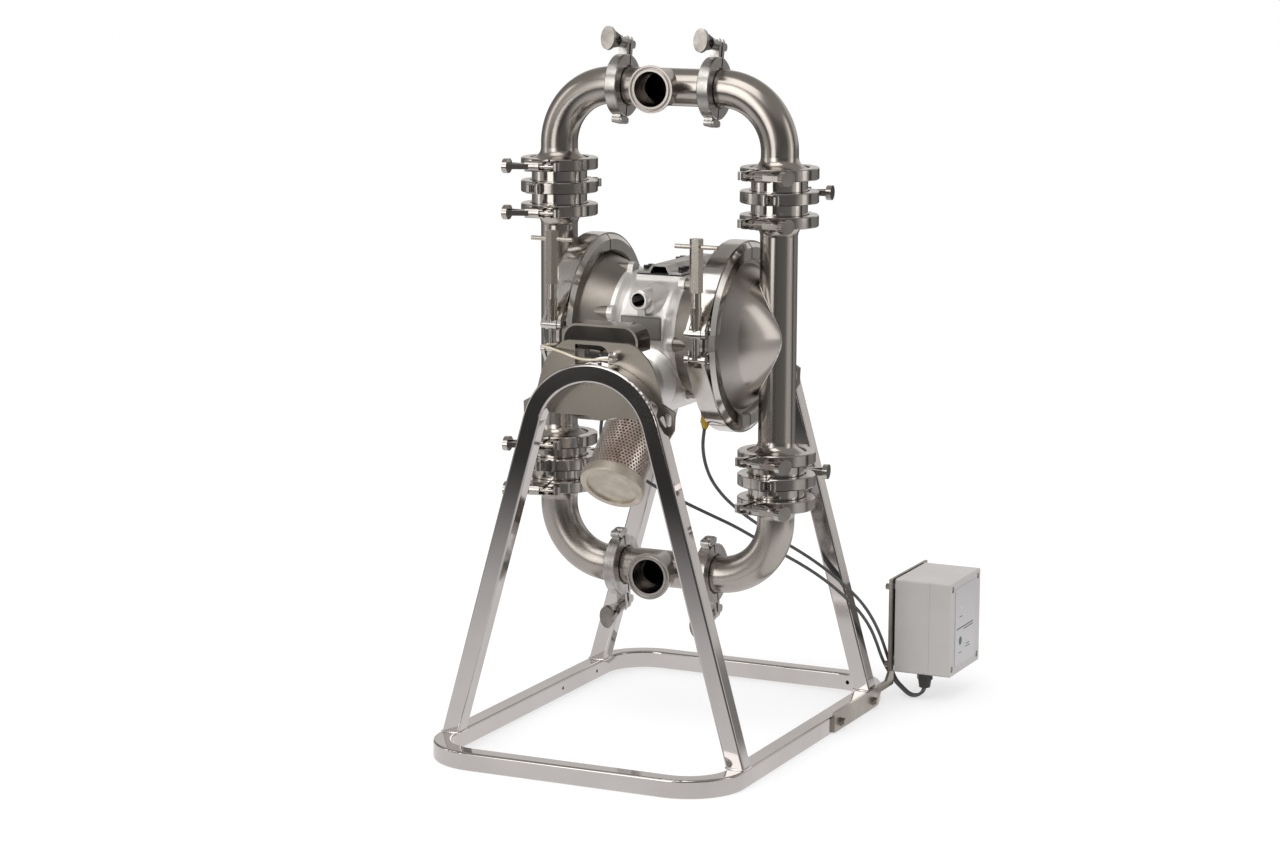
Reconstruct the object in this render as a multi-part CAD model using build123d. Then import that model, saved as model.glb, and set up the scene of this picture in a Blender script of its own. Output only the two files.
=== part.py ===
"""Sanitary air-operated double-diaphragm pump in a tilting tube stand, with a leak-detector box.

Millimetres. X runs along the diaphragm shaft, the ports face -Y, Z is up and the floor is Z = 0.
"""
from build123d import *
from collections import namedtuple
from math import acos, atan2, cos, hypot, pi, radians, sin, sqrt, tan
import os

os.makedirs("parts", exist_ok=True)

# Stand
stand_width = 450.0
stand_depth = 642.0
stand_tube = 25.0
stand_wall = 2.0
stand_edge = 3.0            # rounding on the edges of the square tube
base_bend = 70.0            # centreline radius of the base corners
leg_plane = 227.0           # distance of each leg frame from the middle
leg_top = 544.0
leg_bend = 90.0             # centreline radius of the arch
foot_inset = 2.5            # foot of a leg inside the middle of the rail

# Pump layout
pivot_below_arch = 46.0     # tilt axis below the top of the arch
pivot_drop = 59.0           # tilt axis below the diaphragm shaft
riser_x = 164.0
manifold_rise = 332.0       # shaft to manifold centreline
tee_half = 68.0             # middle of a tee to its clamp joint
port_reach = 58.0
port_groove_r = 28.2
port_groove = 1.3           # half-round gasket groove in each port's face
stack_start = 160.0         # shaft to the first joint of a valve stack
stack_pitch = 31.6          # joint to joint along a valve stack
ring_plane = 105.5          # middle of the pump to the plane of a diaphragm

# Tube and clamp joints
tube_r = 25.4
tube_wall = 1.65
valve_r = 38.1
valve_wall = 3.0
elbow_bend = 82.0
gasket = 1.6
ferrule_edge = 2.85
ferrule_taper = 20.0        # back face of every ferrule, degrees
ferrule_neck = 12.0
flare_height = 21.0
flare_edge = 8.0            # plain rim outside the start of the flare
seat_gap = 0.2              # between a groove and the flanges it holds
split_gap = 3.0             # between the two halves of a clamp

Joint = namedtuple("Joint", "flange_r ring_r half_width lip_r")
small_joint = Joint(flange_r=32.0, ring_r=42.0, half_width=8.5, lip_r=28.0)
large_joint = Joint(flange_r=45.5, ring_r=53.0, half_width=8.0, lip_r=40.5)

# Clamp closure
ear_reach = 26.0
ear_thick = 6.5
ear_gap = 5.0
ear_width = 13.0
eye_bolt_r = 3.8
eye_r = 5.5
eye_slot_gap = 0.4
bolt_out = 15.0             # eye bolt outside the ring
hinge_out = 5.0
hinge_half = 7.5            # middle of the clamp to each hinge pin
hinge_r = 5.0
hinge_pin_r = 2.2
link_thick = 2.2
pin_gap = 0.05
wing_hub_r = 7.4
wing_hub_length = 20.0
wing_length = 50.0
wing_span = 32.0
wing_width = 20.0
wing_plate = 7.0
top_clamp_lean = 10.0       # closure of a manifold clamp, leaning back
stack_clamp_turn = 11.0     # closure of a stack clamp, turned towards the middle

# Diaphragm chambers
flange_r = 114.0
flange_half = 7.0
flange_inner_r = flange_r - 11.0
membrane = 4.0
cover_wall = 4.0
dome_r = flange_inner_r - 4.0   # foot of the fluid cover's dome
dome_tip_r = 17.0
dome_tip_x = 180.0
dome_bulge = 7.0            # how far the dome stands outside a straight cone
dish_floor_x = 56.0
dish_floor_r = 83.0
dish_slope_end = 6.0        # from the end of the dish's slope to its flange
center_half = 50.0
boss_r = 9.0
boss_length = 20.0
boss_circle_r = 84.0
left_boss_angle = 22.0      # first boss above level at the front
right_boss_angle = -3.0

# Diaphragm band
strap_r = flange_r + 16.0
strap_thick = 2.5
strap_half = 13.5
vee_half = 19.5
vee_shoulder_r = flange_r + 7.0
vee_lip_gap = 1.5           # between the vee's lip and the covers
vee_slot = 2.4
closure_low = -5.0          # ends of the vee at the front, from the shaft
closure_high = 17.0
band_bolt_y = strap_r + 9.0
band_bolt_r = 5.0
pin_r = 3.2
loop_r = 5.6
loop_half = 15.0
bolt_slot_half = 9.2
bolt_slot_depth = 19.0
bolt_slot_top = 48.0
lower_pin_z = -14.0
upper_pin_z = 20.0
saddle_r = 7.0
nut_seat_z = 27.0
nut_collar_z = 55.0
nut_hex_z = 75.0
nut_top_z = 146.0
hex_width = 16.0
cross_pin_r = 3.0
cross_pin_length = 61.0
cross_pin_drop = 11.0

# Moving inside
shaft_r = 16.0
shaft_half = 93.0
slide_gap = 0.05
piston_r = 45.0
piston_thick = 6.0
piston_gap = 0.3
hub_front = 7.0             # diaphragm's middle in front of its plane
ball_r = 24.0
seat_r = 19.0
seat_height = 8.0
cage_gap = 0.6
ball_lift = 9.0
rib_width = 5.0
spool_r = 13.0
spool_half = 30.0
spool_travel = 12.0
spool_back = 45.0
spool_rise = 40.0

# Centre casting
barrel_r = 78.0
barrel_end_r = 86.0
pivot_barrel_r = 50.0
pivot_barrel_y = 85.0
neck_r = 31.0
shoulder_r = 36.0
shoulder_thick = 6.0
journal_r = 22.0
journal_past_plate = 5.0    # journal's tip behind the front of the saddle plate
bush_wall = 3.0
inlet_r = 9.5
inlet_boss_r = 13.5
inlet_depth = 54.0
inlet_rise = 53.0
boss_face = 84.0
boss_stand = 9.0            # inlet boss in front of the pad
pad_width = 62.0
pad_height = 33.0
pad_middle = 14.5
valve_block_half = 34.0
valve_block_front = 26.0
valve_block_back = 125.0
valve_block_height = 90.0
valve_face = 79.0
cover_seal = 2.0
cover_plate = 4.0
channel_half = 11.0
channel_rise = 8.0
screw_head_r = 4.5
screw_head = 5.0

# Exhaust muffler
muffler_angle = 44.0        # below level, degrees
muffler_back = 40.0         # its axis crosses the tilt axis's level this far forward
muffler_start = 62.0
muffler_end = 187.0
muffler_r = 40.0
mesh_wall = 1.2
core_r = 33.0
cap_r = 44.0
cap_depth = 17.0
cap_recess = 3.0

# Saddles and lock
saddle_thick = 4.0
saddle_top = 72.0           # above the tilt axis
saddle_foot = -27.0
saddle_flat = 40.0          # half of the straight top edge
saddle_edge = ((60, 63), (74, 48), (82, 32), (87, 15), (92, -4))    # right edge, from the tilt axis
ear_x = 101.0
ear_z = -25.0
ear_slot = 17.0
ear_slot_width = 9.0
cup_r = 33.0
cup_depth = 26.0
shoulder_gap = 1.5
collar_half = 55.0
collar_top = 94.0           # above the tilt axis
collar_foot = 60.0
collar_bend = 22.0
collar_sheet = 3.0
collar_depth = 38.0
window_left = -34.0
window_right = 16.0
window_low = 35.0
window_high = 67.0
index_front = 72.0          # outer radius of the index plate
index_inner = 48.0
index_half = 26.0
index_thick = 4.0
index_gap = 7.5             # behind the saddle plate
index_screw_x = -8.0
index_screw_r = 57.0
screw_flats = 14.0
lock_x = 26.0
lock_rise = 54.0
lock_r = 4.0
lock_gap = 0.1
lock_tip_gap = 0.5
lock_head_r = 7.0
lock_head = 12.0
split_ring_r = 8.0
split_ring_wire = 0.9

# Leak detector
box_width = 127.0
box_height = 137.0
box_base_depth = 52.0
box_lid_depth = 32.0
box_bottom = 38.0
box_front = 288.0
box_edge = 3.0
box_spacer = 2.0
box_seam = 0.8              # chamfer along the joint of base and lid
label_thick = 0.8
lid_screw_r = 4.0
lid_screw_inset = 10.0
arm_thick = 4.0
arm_foot = 2.0
arm_top = 30.0
arm_start = 64.0
arm_neck = 236.0
plate_front = 278.0
plate_back = 426.0
plate_top = 176.0
arm_bolt_y = (89.0, 213.0)
gland_r = 12.0
gland_length = 20.0
gland_x = 274.0
gland_y = 300.0
sensor_r = 7.0
sensor_x = 77.0
sensor_turn = 20.0          # towards the front from straight down, degrees
sensor_boss_r = 8.8
sensor_start = flange_r - 15.4  # flat end of the sensor's boss, from the shaft
sensor_tip = flange_r + 17.0
lead_r = 2.3
lead_hole = 6.5             # how far a lead goes up into the gland
lead_apart = 3.0            # each lead's hole from the gland's middle
lanyard_r = 1.6
lanyard_eye_r = 6.6
lanyard_eye_wire = 1.0

rail_x = (stand_width - stand_tube) / 2
rail_y = (stand_depth - stand_tube) / 2
pivot_z = leg_top - pivot_below_arch
pump_z = pivot_z + pivot_drop
plate_face = leg_plane - stand_tube / 2
plate_rear = plate_face - saddle_thick
journal_shoulder = plate_rear - cup_depth - shoulder_gap
taper = tan(radians(ferrule_taper))
tube_bore = tube_r - tube_wall
valve_bore = valve_r - valve_wall
flange_back = flange_half + (flange_r - flange_inner_r) * taper
vee_lip_r = flange_inner_r + vee_lip_gap
band_r = strap_r - strap_thick
origin_x = (arm_thick + box_spacer + box_base_depth + box_lid_depth + label_thick) / 2
origin_y = (plate_back - stand_depth / 2) / 2


def save(name, solids):
    """Writes one named piece, moved from the pump's middle to the middle of the whole object's box."""
    placed = [Pos(-origin_x, -origin_y, 0) * solid for solid in solids]
    shape = placed[0] if len(placed) == 1 else Compound(children=placed)
    export_step(shape, f"parts/{name}.step")


def outline(*corners):
    """Closed face through corners given as (radius or x, height), in the XZ plane."""
    return make_face(Plane.XZ * Polyline(*corners, close=True))


def turned(*corners):
    """Solid of revolution about Z of a closed outline."""
    return revolve(outline(*corners), Axis.Z)


def upright(radius, height):
    """Cylinder standing on Z = 0."""
    return Cylinder(radius, height, align=(Align.CENTER, Align.CENTER, Align.MIN))


def along_x(shape):
    """Lays a shape made about Z down along +X."""
    return Rot(0, 90, 0) * shape


def along_front(shape):
    """Lays a shape made about Z down along -Y."""
    return Rot(90, 0, 0) * shape


def rod(radius, start, end):
    """Round bar between two points."""
    line = Line(start, end)
    return extrude(Plane(origin=line @ 0, z_dir=line % 0) * Circle(radius), line.length)


def leftward(shape):
    """The same shape on the other side of the pump's middle."""
    return mirror(shape, about=Plane.YZ)


def rearward(shape):
    """The same shape at the back."""
    return mirror(shape, about=Plane.XZ)


def inverted(shape):
    """The same shape upside down."""
    return mirror(shape, about=Plane.XY)


# Stand

def tube_faces(path, across):
    """Outer and inner faces of the rounded square tube at the start of its path."""
    plane = Plane(origin=path @ 0, x_dir=across, z_dir=path % 0)
    bore = stand_tube - 2 * stand_wall
    outer = plane * RectangleRounded(stand_tube, stand_tube, stand_edge)
    inner = plane * RectangleRounded(bore, bore, stand_edge - stand_wall / 2)
    return outer, inner


def base_frame():
    """Bent square tube loop that lies on the floor, with three drilled holes."""
    loop = RectangleRounded(2 * rail_x, 2 * rail_y, base_bend).wire()
    path = Pos(0, 0, stand_tube / 2) * loop
    outer, inner = tube_faces(path, (0, 0, 1))
    frame = sweep(outer, path) - sweep(inner, path)
    middle = stand_tube / 2
    for y in (83.0, 195.0):
        frame -= rod(2.5, (-rail_x, y, middle), (-rail_x + stand_tube, y, middle))
    return frame - rod(3.0, (157, rail_y - stand_tube, middle), (157, rail_y, middle))


def leg_frame():
    """Rear square tube bent to an upside-down U, cut level on top of the side rails."""
    arch_z = leg_top - stand_tube / 2 - leg_bend
    drop = arch_z - stand_tube
    landing = rail_x - foot_inset
    lean = acos(leg_bend / hypot(landing, drop)) - atan2(drop, landing)
    foot_x = landing + stand_tube * tan(lean)
    apex_z = foot_x / tan(lean)
    y = leg_plane
    path = FilletPolyline((-foot_x, y, 0), (0, y, apex_z), (foot_x, y, 0), radius=leg_bend)
    outer, inner = tube_faces(path, (0, 1, 0))
    below = Pos(0, y, 0) * Box(2 * stand_width, 2 * stand_tube, 2 * stand_tube)
    return sweep(outer, path) - sweep(inner, path) - below


def saddle_plate():
    """Bell-shaped plate with a slotted ear outside each leg, in front of the tilt axis's origin."""
    edge = Spline((saddle_flat, saddle_top), *saddle_edge, tangents=((1, 0), (0.25, -1)))
    rest = Polyline(saddle_edge[-1], (ear_x + 9, ear_z + 11), (ear_x + 8, ear_z - 13), (ear_x - 4, ear_z - 34),
                    (82, saddle_foot - 12), (76, saddle_foot), (0, saddle_foot), (0, saddle_top),
                    (saddle_flat, saddle_top))
    half = extrude(make_face(Plane.XZ * (edge + rest)), saddle_thick, dir=(0, -1, 0))
    slot = Pos(ear_x, 0, ear_z) * Rot(90, 0, 0) * Rot(0, 0, 90) * SlotOverall(ear_slot, ear_slot_width)
    half -= extrude(slot, 2 * saddle_thick, both=True)
    return half + leftward(half)


def roof_collar():
    """Bent sheet standing over the top of a saddle plate, open below."""
    tall = 4 * collar_bend
    place = Pos(0, 0, collar_top - tall / 2) * Rot(90, 0, 0)
    outer = place * RectangleRounded(2 * collar_half, tall, collar_bend)
    inner = place * RectangleRounded(2 * (collar_half - collar_sheet), tall - 2 * collar_sheet,
                                     collar_bend - collar_sheet)
    sheet = extrude(outer - inner, -collar_depth)
    below = Pos(0, 0, collar_foot - tall) * Box(4 * collar_half, 4 * collar_depth, 2 * tall)
    return sheet - below


def front_saddle(window):
    """Plate, journal cup and roof collar; the front one has a window and the lock pin's hole."""
    axis = Pos(0, -plate_rear, pivot_z)
    into = axis * Rot(-90, 0, 0)
    shape = axis * saddle_plate()
    shape += into * upright(cup_r, cup_depth)
    shape += axis * roof_collar()
    shape -= into * upright(journal_r + pin_gap + bush_wall, cup_depth)
    if window:
        middle_z = (window_low + window_high) / 2
        radius = (window_high - window_low) / 2
        opening = Pos(window_right - radius, 0, middle_z) * Rot(90, 0, 0) * Circle(radius)
        opening += outline((window_left, window_low), (window_right - radius, window_low),
                           (window_right - radius, window_high), (window_left, window_high))
        shape -= axis * extrude(opening, saddle_thick, both=True)
        shape -= axis * Pos(lock_x, 0, lock_rise) * along_front(Cylinder(lock_r + lock_gap, 4 * saddle_thick))
    return shape


def front_bush():
    """Plain bush that lines the front saddle's cup."""
    ring = Circle(journal_r + pin_gap + bush_wall) - Circle(journal_r + pin_gap)
    return Pos(0, -plate_rear, pivot_z) * Rot(-90, 0, 0) * extrude(ring, cup_depth)


def lock_pin():
    """Spring pin in the front saddle, with a split ring through its head."""
    base = Pos(lock_x, -plate_rear + index_gap - lock_tip_gap, pivot_z + lock_rise)
    length = index_gap - lock_tip_gap + saddle_thick
    shank = upright(lock_r, length + 1)
    head = Pos(0, 0, length) * upright(lock_head_r, lock_head)
    head = chamfer(head.edges().group_by(Axis.Z)[-1], 1.5)
    eye_z = length + lock_head - 4
    round_eye = Pos(0, 0, eye_z + split_ring_r) * Rot(0, 90, 0)
    eye = round_eye * Torus(split_ring_r, split_ring_wire + 0.3)
    ring = round_eye * Torus(split_ring_r, split_ring_wire)
    return [base * along_front(shank + head - eye), base * along_front(ring)]


# Clamp joints

def ferrule(bore_r, body_r, joint, height):
    """Clamp ferrule standing on its sealing face, with a straight neck of the tube's size."""
    shoulder = ferrule_edge + (joint.flange_r - body_r) * taper
    return turned((bore_r, 0), (joint.flange_r, 0), (joint.flange_r, ferrule_edge),
                  (body_r, shoulder), (body_r, height), (bore_r, height))


def flared_ferrule():
    """Large ferrule that sweeps down to the thinner tube like a trumpet's bell."""
    rim_r = large_joint.flange_r
    start = (rim_r - flare_edge, ferrule_edge + flare_edge * taper)
    edge = Polyline((tube_r, flare_height), (tube_bore, flare_height), (tube_bore, 0), (rim_r, 0),
                    (rim_r, ferrule_edge), start)
    bell = Bezier(start, (start[0] - 6, start[1] + 2.5), (tube_r, flare_height - 9), (tube_r, flare_height))
    return revolve(make_face(Plane.XZ * (edge + bell)), Axis.Z)


def clamp_ring(joint):
    """Full clamp ring with the tapered groove that draws two ferrules together."""
    half = joint.half_width
    reach = gasket / 2 + ferrule_edge + seat_gap
    depth_r = joint.flange_r + seat_gap
    lip_z = reach + (depth_r - joint.lip_r) * taper
    edge = 1.2
    return turned((joint.ring_r - edge, -half), (joint.ring_r, edge - half), (joint.ring_r, half - edge),
                  (joint.ring_r - edge, half), (joint.lip_r, half), (joint.lip_r, lip_z), (depth_r, reach),
                  (depth_r, -reach), (joint.lip_r, -lip_z), (joint.lip_r, -half))


def clamp_ear(joint):
    """Slotted ear on one clamp half, where the eye bolt swings in."""
    inner = joint.ring_r - 4
    outer = joint.ring_r + ear_reach
    body = Pos(ear_gap / 2 + ear_thick / 2, -(inner + outer) / 2, 0) * Box(ear_thick, outer - inner, ear_width)
    body = fillet(body.edges().filter_by(Axis.X).group_by(Axis.Y)[0], ear_width / 2 - 0.5)
    slot_r = eye_bolt_r + eye_slot_gap
    slot = Pos(0, -joint.ring_r - bolt_out, 0) * along_x(Cylinder(slot_r, 4 * ear_thick))
    way = Pos(0, -joint.ring_r - bolt_out - ear_reach, 0) * Box(4 * ear_thick, 2 * ear_reach, 2 * slot_r)
    return body - slot - way


def clamp_half(joint):
    """Right half of a clamp: half ring, ear at the front, hinge lug at the back."""
    wide = 2 * joint.ring_r
    side = Pos(joint.ring_r + split_gap / 2, 0, 0) * Box(wide, 2 * wide, wide)
    lug_height = 2 * (joint.half_width - link_thick - 1.2)
    y = joint.ring_r + hinge_out
    lug = Pos(hinge_half, y, 0) * Cylinder(hinge_r, lug_height)
    lug += Pos(hinge_half, y - hinge_out, 0) * Box(1.6 * hinge_r, 2 * hinge_out, lug_height)
    lug -= Pos(hinge_half, y, 0) * Cylinder(hinge_pin_r + pin_gap, wide)
    groove = Cylinder(joint.ring_r - 3.5, wide)
    return (clamp_ring(joint) & side) + (clamp_ear(joint) - groove) + (lug - groove)


def hinge_link(joint):
    """Two side plates and two pins that join the halves at the back."""
    y = joint.ring_r + hinge_out
    z = joint.half_width - link_thick - 1.0
    plate = extrude(SlotCenterToCenter(2 * hinge_half, 2 * hinge_r - 1.4), link_thick)
    link = Pos(0, y, z) * plate + Pos(0, y, -z - link_thick) * plate
    for side in (-1, 1):
        link += Pos(side * hinge_half, y, 0) * Cylinder(hinge_pin_r, 2 * z)
    return link


def eye_bolt(joint):
    """Bolt through both ears, with its eye outside the right one."""
    eye_x = ear_gap / 2 + ear_thick + eye_r
    length = eye_x + ear_gap / 2 + ear_thick + wing_hub_length + 3
    place = Pos(eye_x, -joint.ring_r - bolt_out, 0)
    return place * (Rot(0, -90, 0) * upright(eye_bolt_r, length) + Cylinder(eye_r, ear_width - 2))


def wing_nut(joint):
    """Nut on the eye bolt: round hub, two spreading arms and an oval plate across their ends."""
    hub = upright(wing_hub_r, wing_hub_length)
    arm_z = wing_length - wing_plate
    spread = wing_span / 2 - 2.5
    frame = outline((-wing_hub_r, wing_hub_length - 6), (wing_hub_r, wing_hub_length - 6),
                    (spread, arm_z + 2), (-spread, arm_z + 2))
    window = outline((0, wing_hub_length + 3), (spread - 4.5, arm_z), (4.5 - spread, arm_z))
    arms = extrude(frame - window, 3.6, both=True)
    plate = Pos(0, 0, arm_z) * extrude(Ellipse(wing_span / 2, wing_width / 2), wing_plate)
    nut = hub + arms + plate - upright(eye_bolt_r + pin_gap, wing_hub_length + 4)
    seat = Pos(-ear_gap / 2 - ear_thick, -joint.ring_r - bolt_out, 0)
    return seat * Rot(0, -90, 0) * Rot(0, 0, 90) * nut


def clamp(joint):
    """Halves, hinge link and eye bolt of one clamp about Z, ears to the front, nut side to the left."""
    half = clamp_half(joint)
    return [half, leftward(half), hinge_link(joint), eye_bolt(joint)]


def gasket_ring(bore_r, joint):
    """Sealing ring across Z = 0 between two ferrules."""
    return Pos(0, 0, -gasket / 2) * extrude(Circle(joint.flange_r) - Circle(bore_r), gasket)


def manifold_clamp_place():
    """Upper left manifold joint: clamp axis along the pipe, ears up and leaning back, nut to the front."""
    lean = radians(top_clamp_lean)
    return Plane(origin=(-tee_half, 0, pump_z + manifold_rise), x_dir=(0, cos(lean), -sin(lean)),
                 z_dir=(-1, 0, 0)).location


def stack_clamps(sign):
    """Three clamps with their nuts on the left stack above (sign 1) or below the shaft."""
    pieces = [*clamp(large_joint), wing_nut(large_joint)]
    placed = []
    for step in range(3):
        turn = stack_clamp_turn if step != 1 else 180 - stack_clamp_turn
        set_of_one = pieces if step != 1 else [leftward(p) for p in pieces]
        place = Pos(-riser_x, 0, pump_z + sign * (stack_start + step * stack_pitch)) * Rot(0, 0, turn)
        placed += [place * piece for piece in set_of_one]
    return placed


# Manifold, made about the middle of the shaft

def elbow():
    """Upper right elbow from its manifold joint to the flare on its valve stack."""
    start = (tee_half + gasket / 2, 0, manifold_rise)
    end = (riser_x, 0, stack_start + 2 * stack_pitch + gasket / 2)
    path = FilletPolyline(start, (riser_x, 0, manifold_rise), end, radius=elbow_bend)
    mouth = Plane(origin=start, x_dir=(0, 1, 0), z_dir=(1, 0, 0))
    pipe = sweep(mouth * Circle(tube_r), path) - sweep(mouth * Circle(tube_bore), path)
    pipe += Pos(*start) * along_x(ferrule(tube_bore, tube_r, small_joint, ferrule_neck))
    return pipe + Pos(*end) * flared_ferrule()


def tee():
    """Tee about its own middle, with its port to the front."""
    half = tee_half - gasket / 2
    mouth = ferrule(tube_bore, tube_r, small_joint, ferrule_neck)
    shape = along_x(Cylinder(tube_r, 2 * half)) + along_front(upright(tube_r, port_reach))
    shape -= along_x(Cylinder(tube_bore, 2 * half))
    shape -= along_front(upright(tube_bore, port_reach))
    right = Pos(half, 0, 0) * Rot(0, -90, 0) * mouth
    port = Pos(0, -port_reach, 0) * Rot(-90, 0, 0) * mouth
    groove = Pos(0, -port_reach, 0) * Rot(90, 0, 0) * Torus(port_groove_r, port_groove)
    return shape + right + leftward(right) + port - groove


def valve_body(inside):
    """Short valve body with a ferrule at each end and what stands inside it."""
    height = stack_pitch - gasket
    bottom = ferrule(valve_bore, valve_r, large_joint, height / 2)
    return bottom + Pos(0, 0, height) * inverted(bottom) + inside


def valve_seat():
    """Seat ring at the foot of the lower valve body, bevelled for the ball."""
    bevel = 3.0
    return turned((seat_r + bevel, 0), (valve_bore + 1, 0), (valve_bore + 1, seat_height + bevel),
                  (seat_r + bevel, seat_height + bevel), (seat_r, seat_height), (seat_r, bevel))


def ball_rest():
    """Middle of the resting ball above the foot of its stack."""
    return seat_height + sqrt(ball_r ** 2 - seat_r ** 2) + pin_gap


def ball_cage():
    """Four ribs and a stop cross in the upper valve body that guide and stop the ball."""
    height = stack_pitch - gasket
    rib_in = ball_r + cage_gap
    rib = Pos((rib_in + valve_bore + 1) / 2, 0, height / 2) * Box(valve_bore + 1 - rib_in, rib_width, height)
    stop_z = ball_rest() + ball_r + ball_lift + pin_gap - stack_pitch
    stop = Pos(0, 0, (stop_z + height) / 2) * Box(2 * valve_bore, rib_width, height - stop_z)
    cage = stop + Rot(0, 0, 90) * stop
    for turn in range(0, 360, 90):
        cage += Rot(0, 0, turn) * rib
    return cage


# Diaphragm chambers, made on the right about the middle of the shaft

def dome(foot_r, tip_r, tip_x):
    """Convex solid of revolution from the diaphragm's plane out to its tip, on the right."""
    rim_x = ring_plane + membrane / 2
    back_x = ring_plane + flange_back
    slant = hypot(foot_r - tip_r, tip_x - back_x)
    middle_r = (foot_r + tip_r) / 2 + dome_bulge * (tip_x - back_x) / slant
    middle_x = (back_x + tip_x) / 2 + dome_bulge * (foot_r - tip_r) / slant
    edge = ThreePointArc((foot_r, back_x), (middle_r, middle_x), (tip_r, tip_x))
    rest = Polyline((tip_r, tip_x), (0, tip_x), (0, rim_x), (foot_r, rim_x), (foot_r, back_x))
    return along_x(revolve(make_face(Plane.XZ * (edge + rest)), Axis.Z))


def fluid_cover():
    """Rim flange and dome welded onto their riser tube, hollow from the diaphragm to both valve stacks."""
    rim_x = ring_plane + membrane / 2
    flange = turned((0, rim_x), (flange_r, rim_x), (flange_r, ring_plane + flange_half),
                    (flange_inner_r, ring_plane + flange_back), (0, ring_plane + flange_back))
    inner = dome(dome_r - 1.4 * cover_wall, dome_tip_r - cover_wall, dome_tip_x - cover_wall)
    half = stack_start - gasket / 2
    riser = Pos(riser_x, 0, 0)
    flare = riser * Pos(0, 0, -half) * flared_ferrule()
    shape = along_x(flange) + dome(dome_r, dome_tip_r, dome_tip_x) + riser * Cylinder(tube_r, 2 * half)
    return shape + flare + inverted(flare) - inner - riser * Cylinder(tube_bore, 2 * half)


def sensor_place():
    """Frame at the flat end of the right sensor's boss, with Z along the sensor."""
    turn = radians(sensor_turn)
    down = (0, -sin(turn), -cos(turn))
    seat = (sensor_x, sensor_start * down[1], sensor_start * down[2])
    return Plane(origin=seat, x_dir=(1, 0, 0), z_dir=down).location


def air_cover(boss_angle):
    """Dish between the casting and the diaphragm, with bolt bosses on its back and one for the leak sensor."""
    rim_x = ring_plane - membrane / 2
    back_x = ring_plane - flange_back
    dish = along_x(turned(
        (0, center_half), (barrel_end_r, center_half), (flange_inner_r - 3, back_x - dish_slope_end),
        (flange_inner_r, back_x), (flange_r, ring_plane - flange_half), (flange_r, rim_x), (0, rim_x),
    ))
    boss = Pos(center_half, 0, 0) * along_x(upright(boss_r, boss_length))
    for step in range(6):
        turn = radians(boss_angle + 60 * step)
        dish += Pos(0, -boss_circle_r * cos(turn), boss_circle_r * sin(turn)) * boss
    depth = 2 * sensor_boss_r
    dish += sensor_place() * Pos(0, 0, -depth / 2) * Cylinder(sensor_boss_r, depth)
    inside = turned((0, dish_floor_x), (dish_floor_r, dish_floor_x), (flange_inner_r - cover_wall, rim_x),
                    (0, rim_x))
    return dish - along_x(inside) - along_x(Cylinder(shaft_r + 1, 4 * ring_plane))


def diaphragm():
    """Moulded diaphragm: clamped bead, rolling convolution and thick middle."""
    near = ring_plane - membrane / 2
    far = ring_plane + membrane / 2
    bead_r = flange_r - 0.5
    roll_r = 80.0
    roll_half = 14.0
    middle = shaft_half + piston_gap
    inside = Polyline((0, ring_plane + hub_front), (0, middle), (piston_r, middle), (piston_r + 5, near),
                      (roll_r - roll_half, near))
    roll_in = ThreePointArc((roll_r - roll_half, near), (roll_r, near - 9), (roll_r + roll_half, near))
    bead = Polyline((roll_r + roll_half, near), (bead_r, near), (bead_r, far), (roll_r + roll_half, far))
    roll_out = ThreePointArc((roll_r + roll_half, far), (roll_r, far - 9), (roll_r - roll_half, far))
    outside = Polyline((roll_r - roll_half, far), (piston_r + 7, far), (piston_r - 4, ring_plane + hub_front),
                       (0, ring_plane + hub_front))
    face = make_face(Plane.XZ * (inside + roll_in + bead + roll_out + outside))
    return along_x(revolve(face, Axis.Z))


def vee_ring():
    """Vee retainer that draws the covers together, cut through at the front, top and bottom."""
    groove_r = flange_r + seat_gap
    reach = flange_half + seat_gap
    lip_u = reach + (groove_r - vee_lip_r) * taper
    half = [(band_r, vee_half - 5), (vee_shoulder_r, vee_half), (vee_lip_r + 2, vee_half),
            (vee_lip_r, vee_half - 3), (vee_lip_r, lip_u), (groove_r, reach)]
    ring = along_x(turned(*half, *[(r, -u) for r, u in reversed(half)]))
    tall = 4 * strap_r
    ring -= Box(tall, vee_slot, tall)
    opening = Pos(0, -strap_r, (closure_low + closure_high) / 2)
    return ring - opening * Box(tall, strap_r, closure_high - closure_low)


def strap_end(pin_z):
    """Strap leaving the band along a straight line and rolled round its pin: two faces and the angle it leaves at."""
    lean = atan2(pin_z, band_bolt_y)
    side = 1 if pin_z > 0 else -1
    turn = side * acos((strap_r - loop_r) / hypot(band_bolt_y, pin_z)) + lean
    out_y = -cos(turn)
    out_z = sin(turn)
    start = (strap_r * out_y, strap_r * out_z)
    end = (loop_r * out_y - band_bolt_y, loop_r * out_z + pin_z)
    under = [(y - strap_thick * out_y, z - strap_thick * out_z) for y, z in (end, start)]
    hole = Pos(-band_bolt_y, pin_z) * Circle(pin_r + pin_gap)
    flat = make_face(Polyline(start, end, *under, close=True)) - hole
    loop = Pos(-band_bolt_y, pin_z) * Circle(loop_r) - hole
    return Plane.YZ * flat, Plane.YZ * loop, (out_y, out_z)


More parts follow.
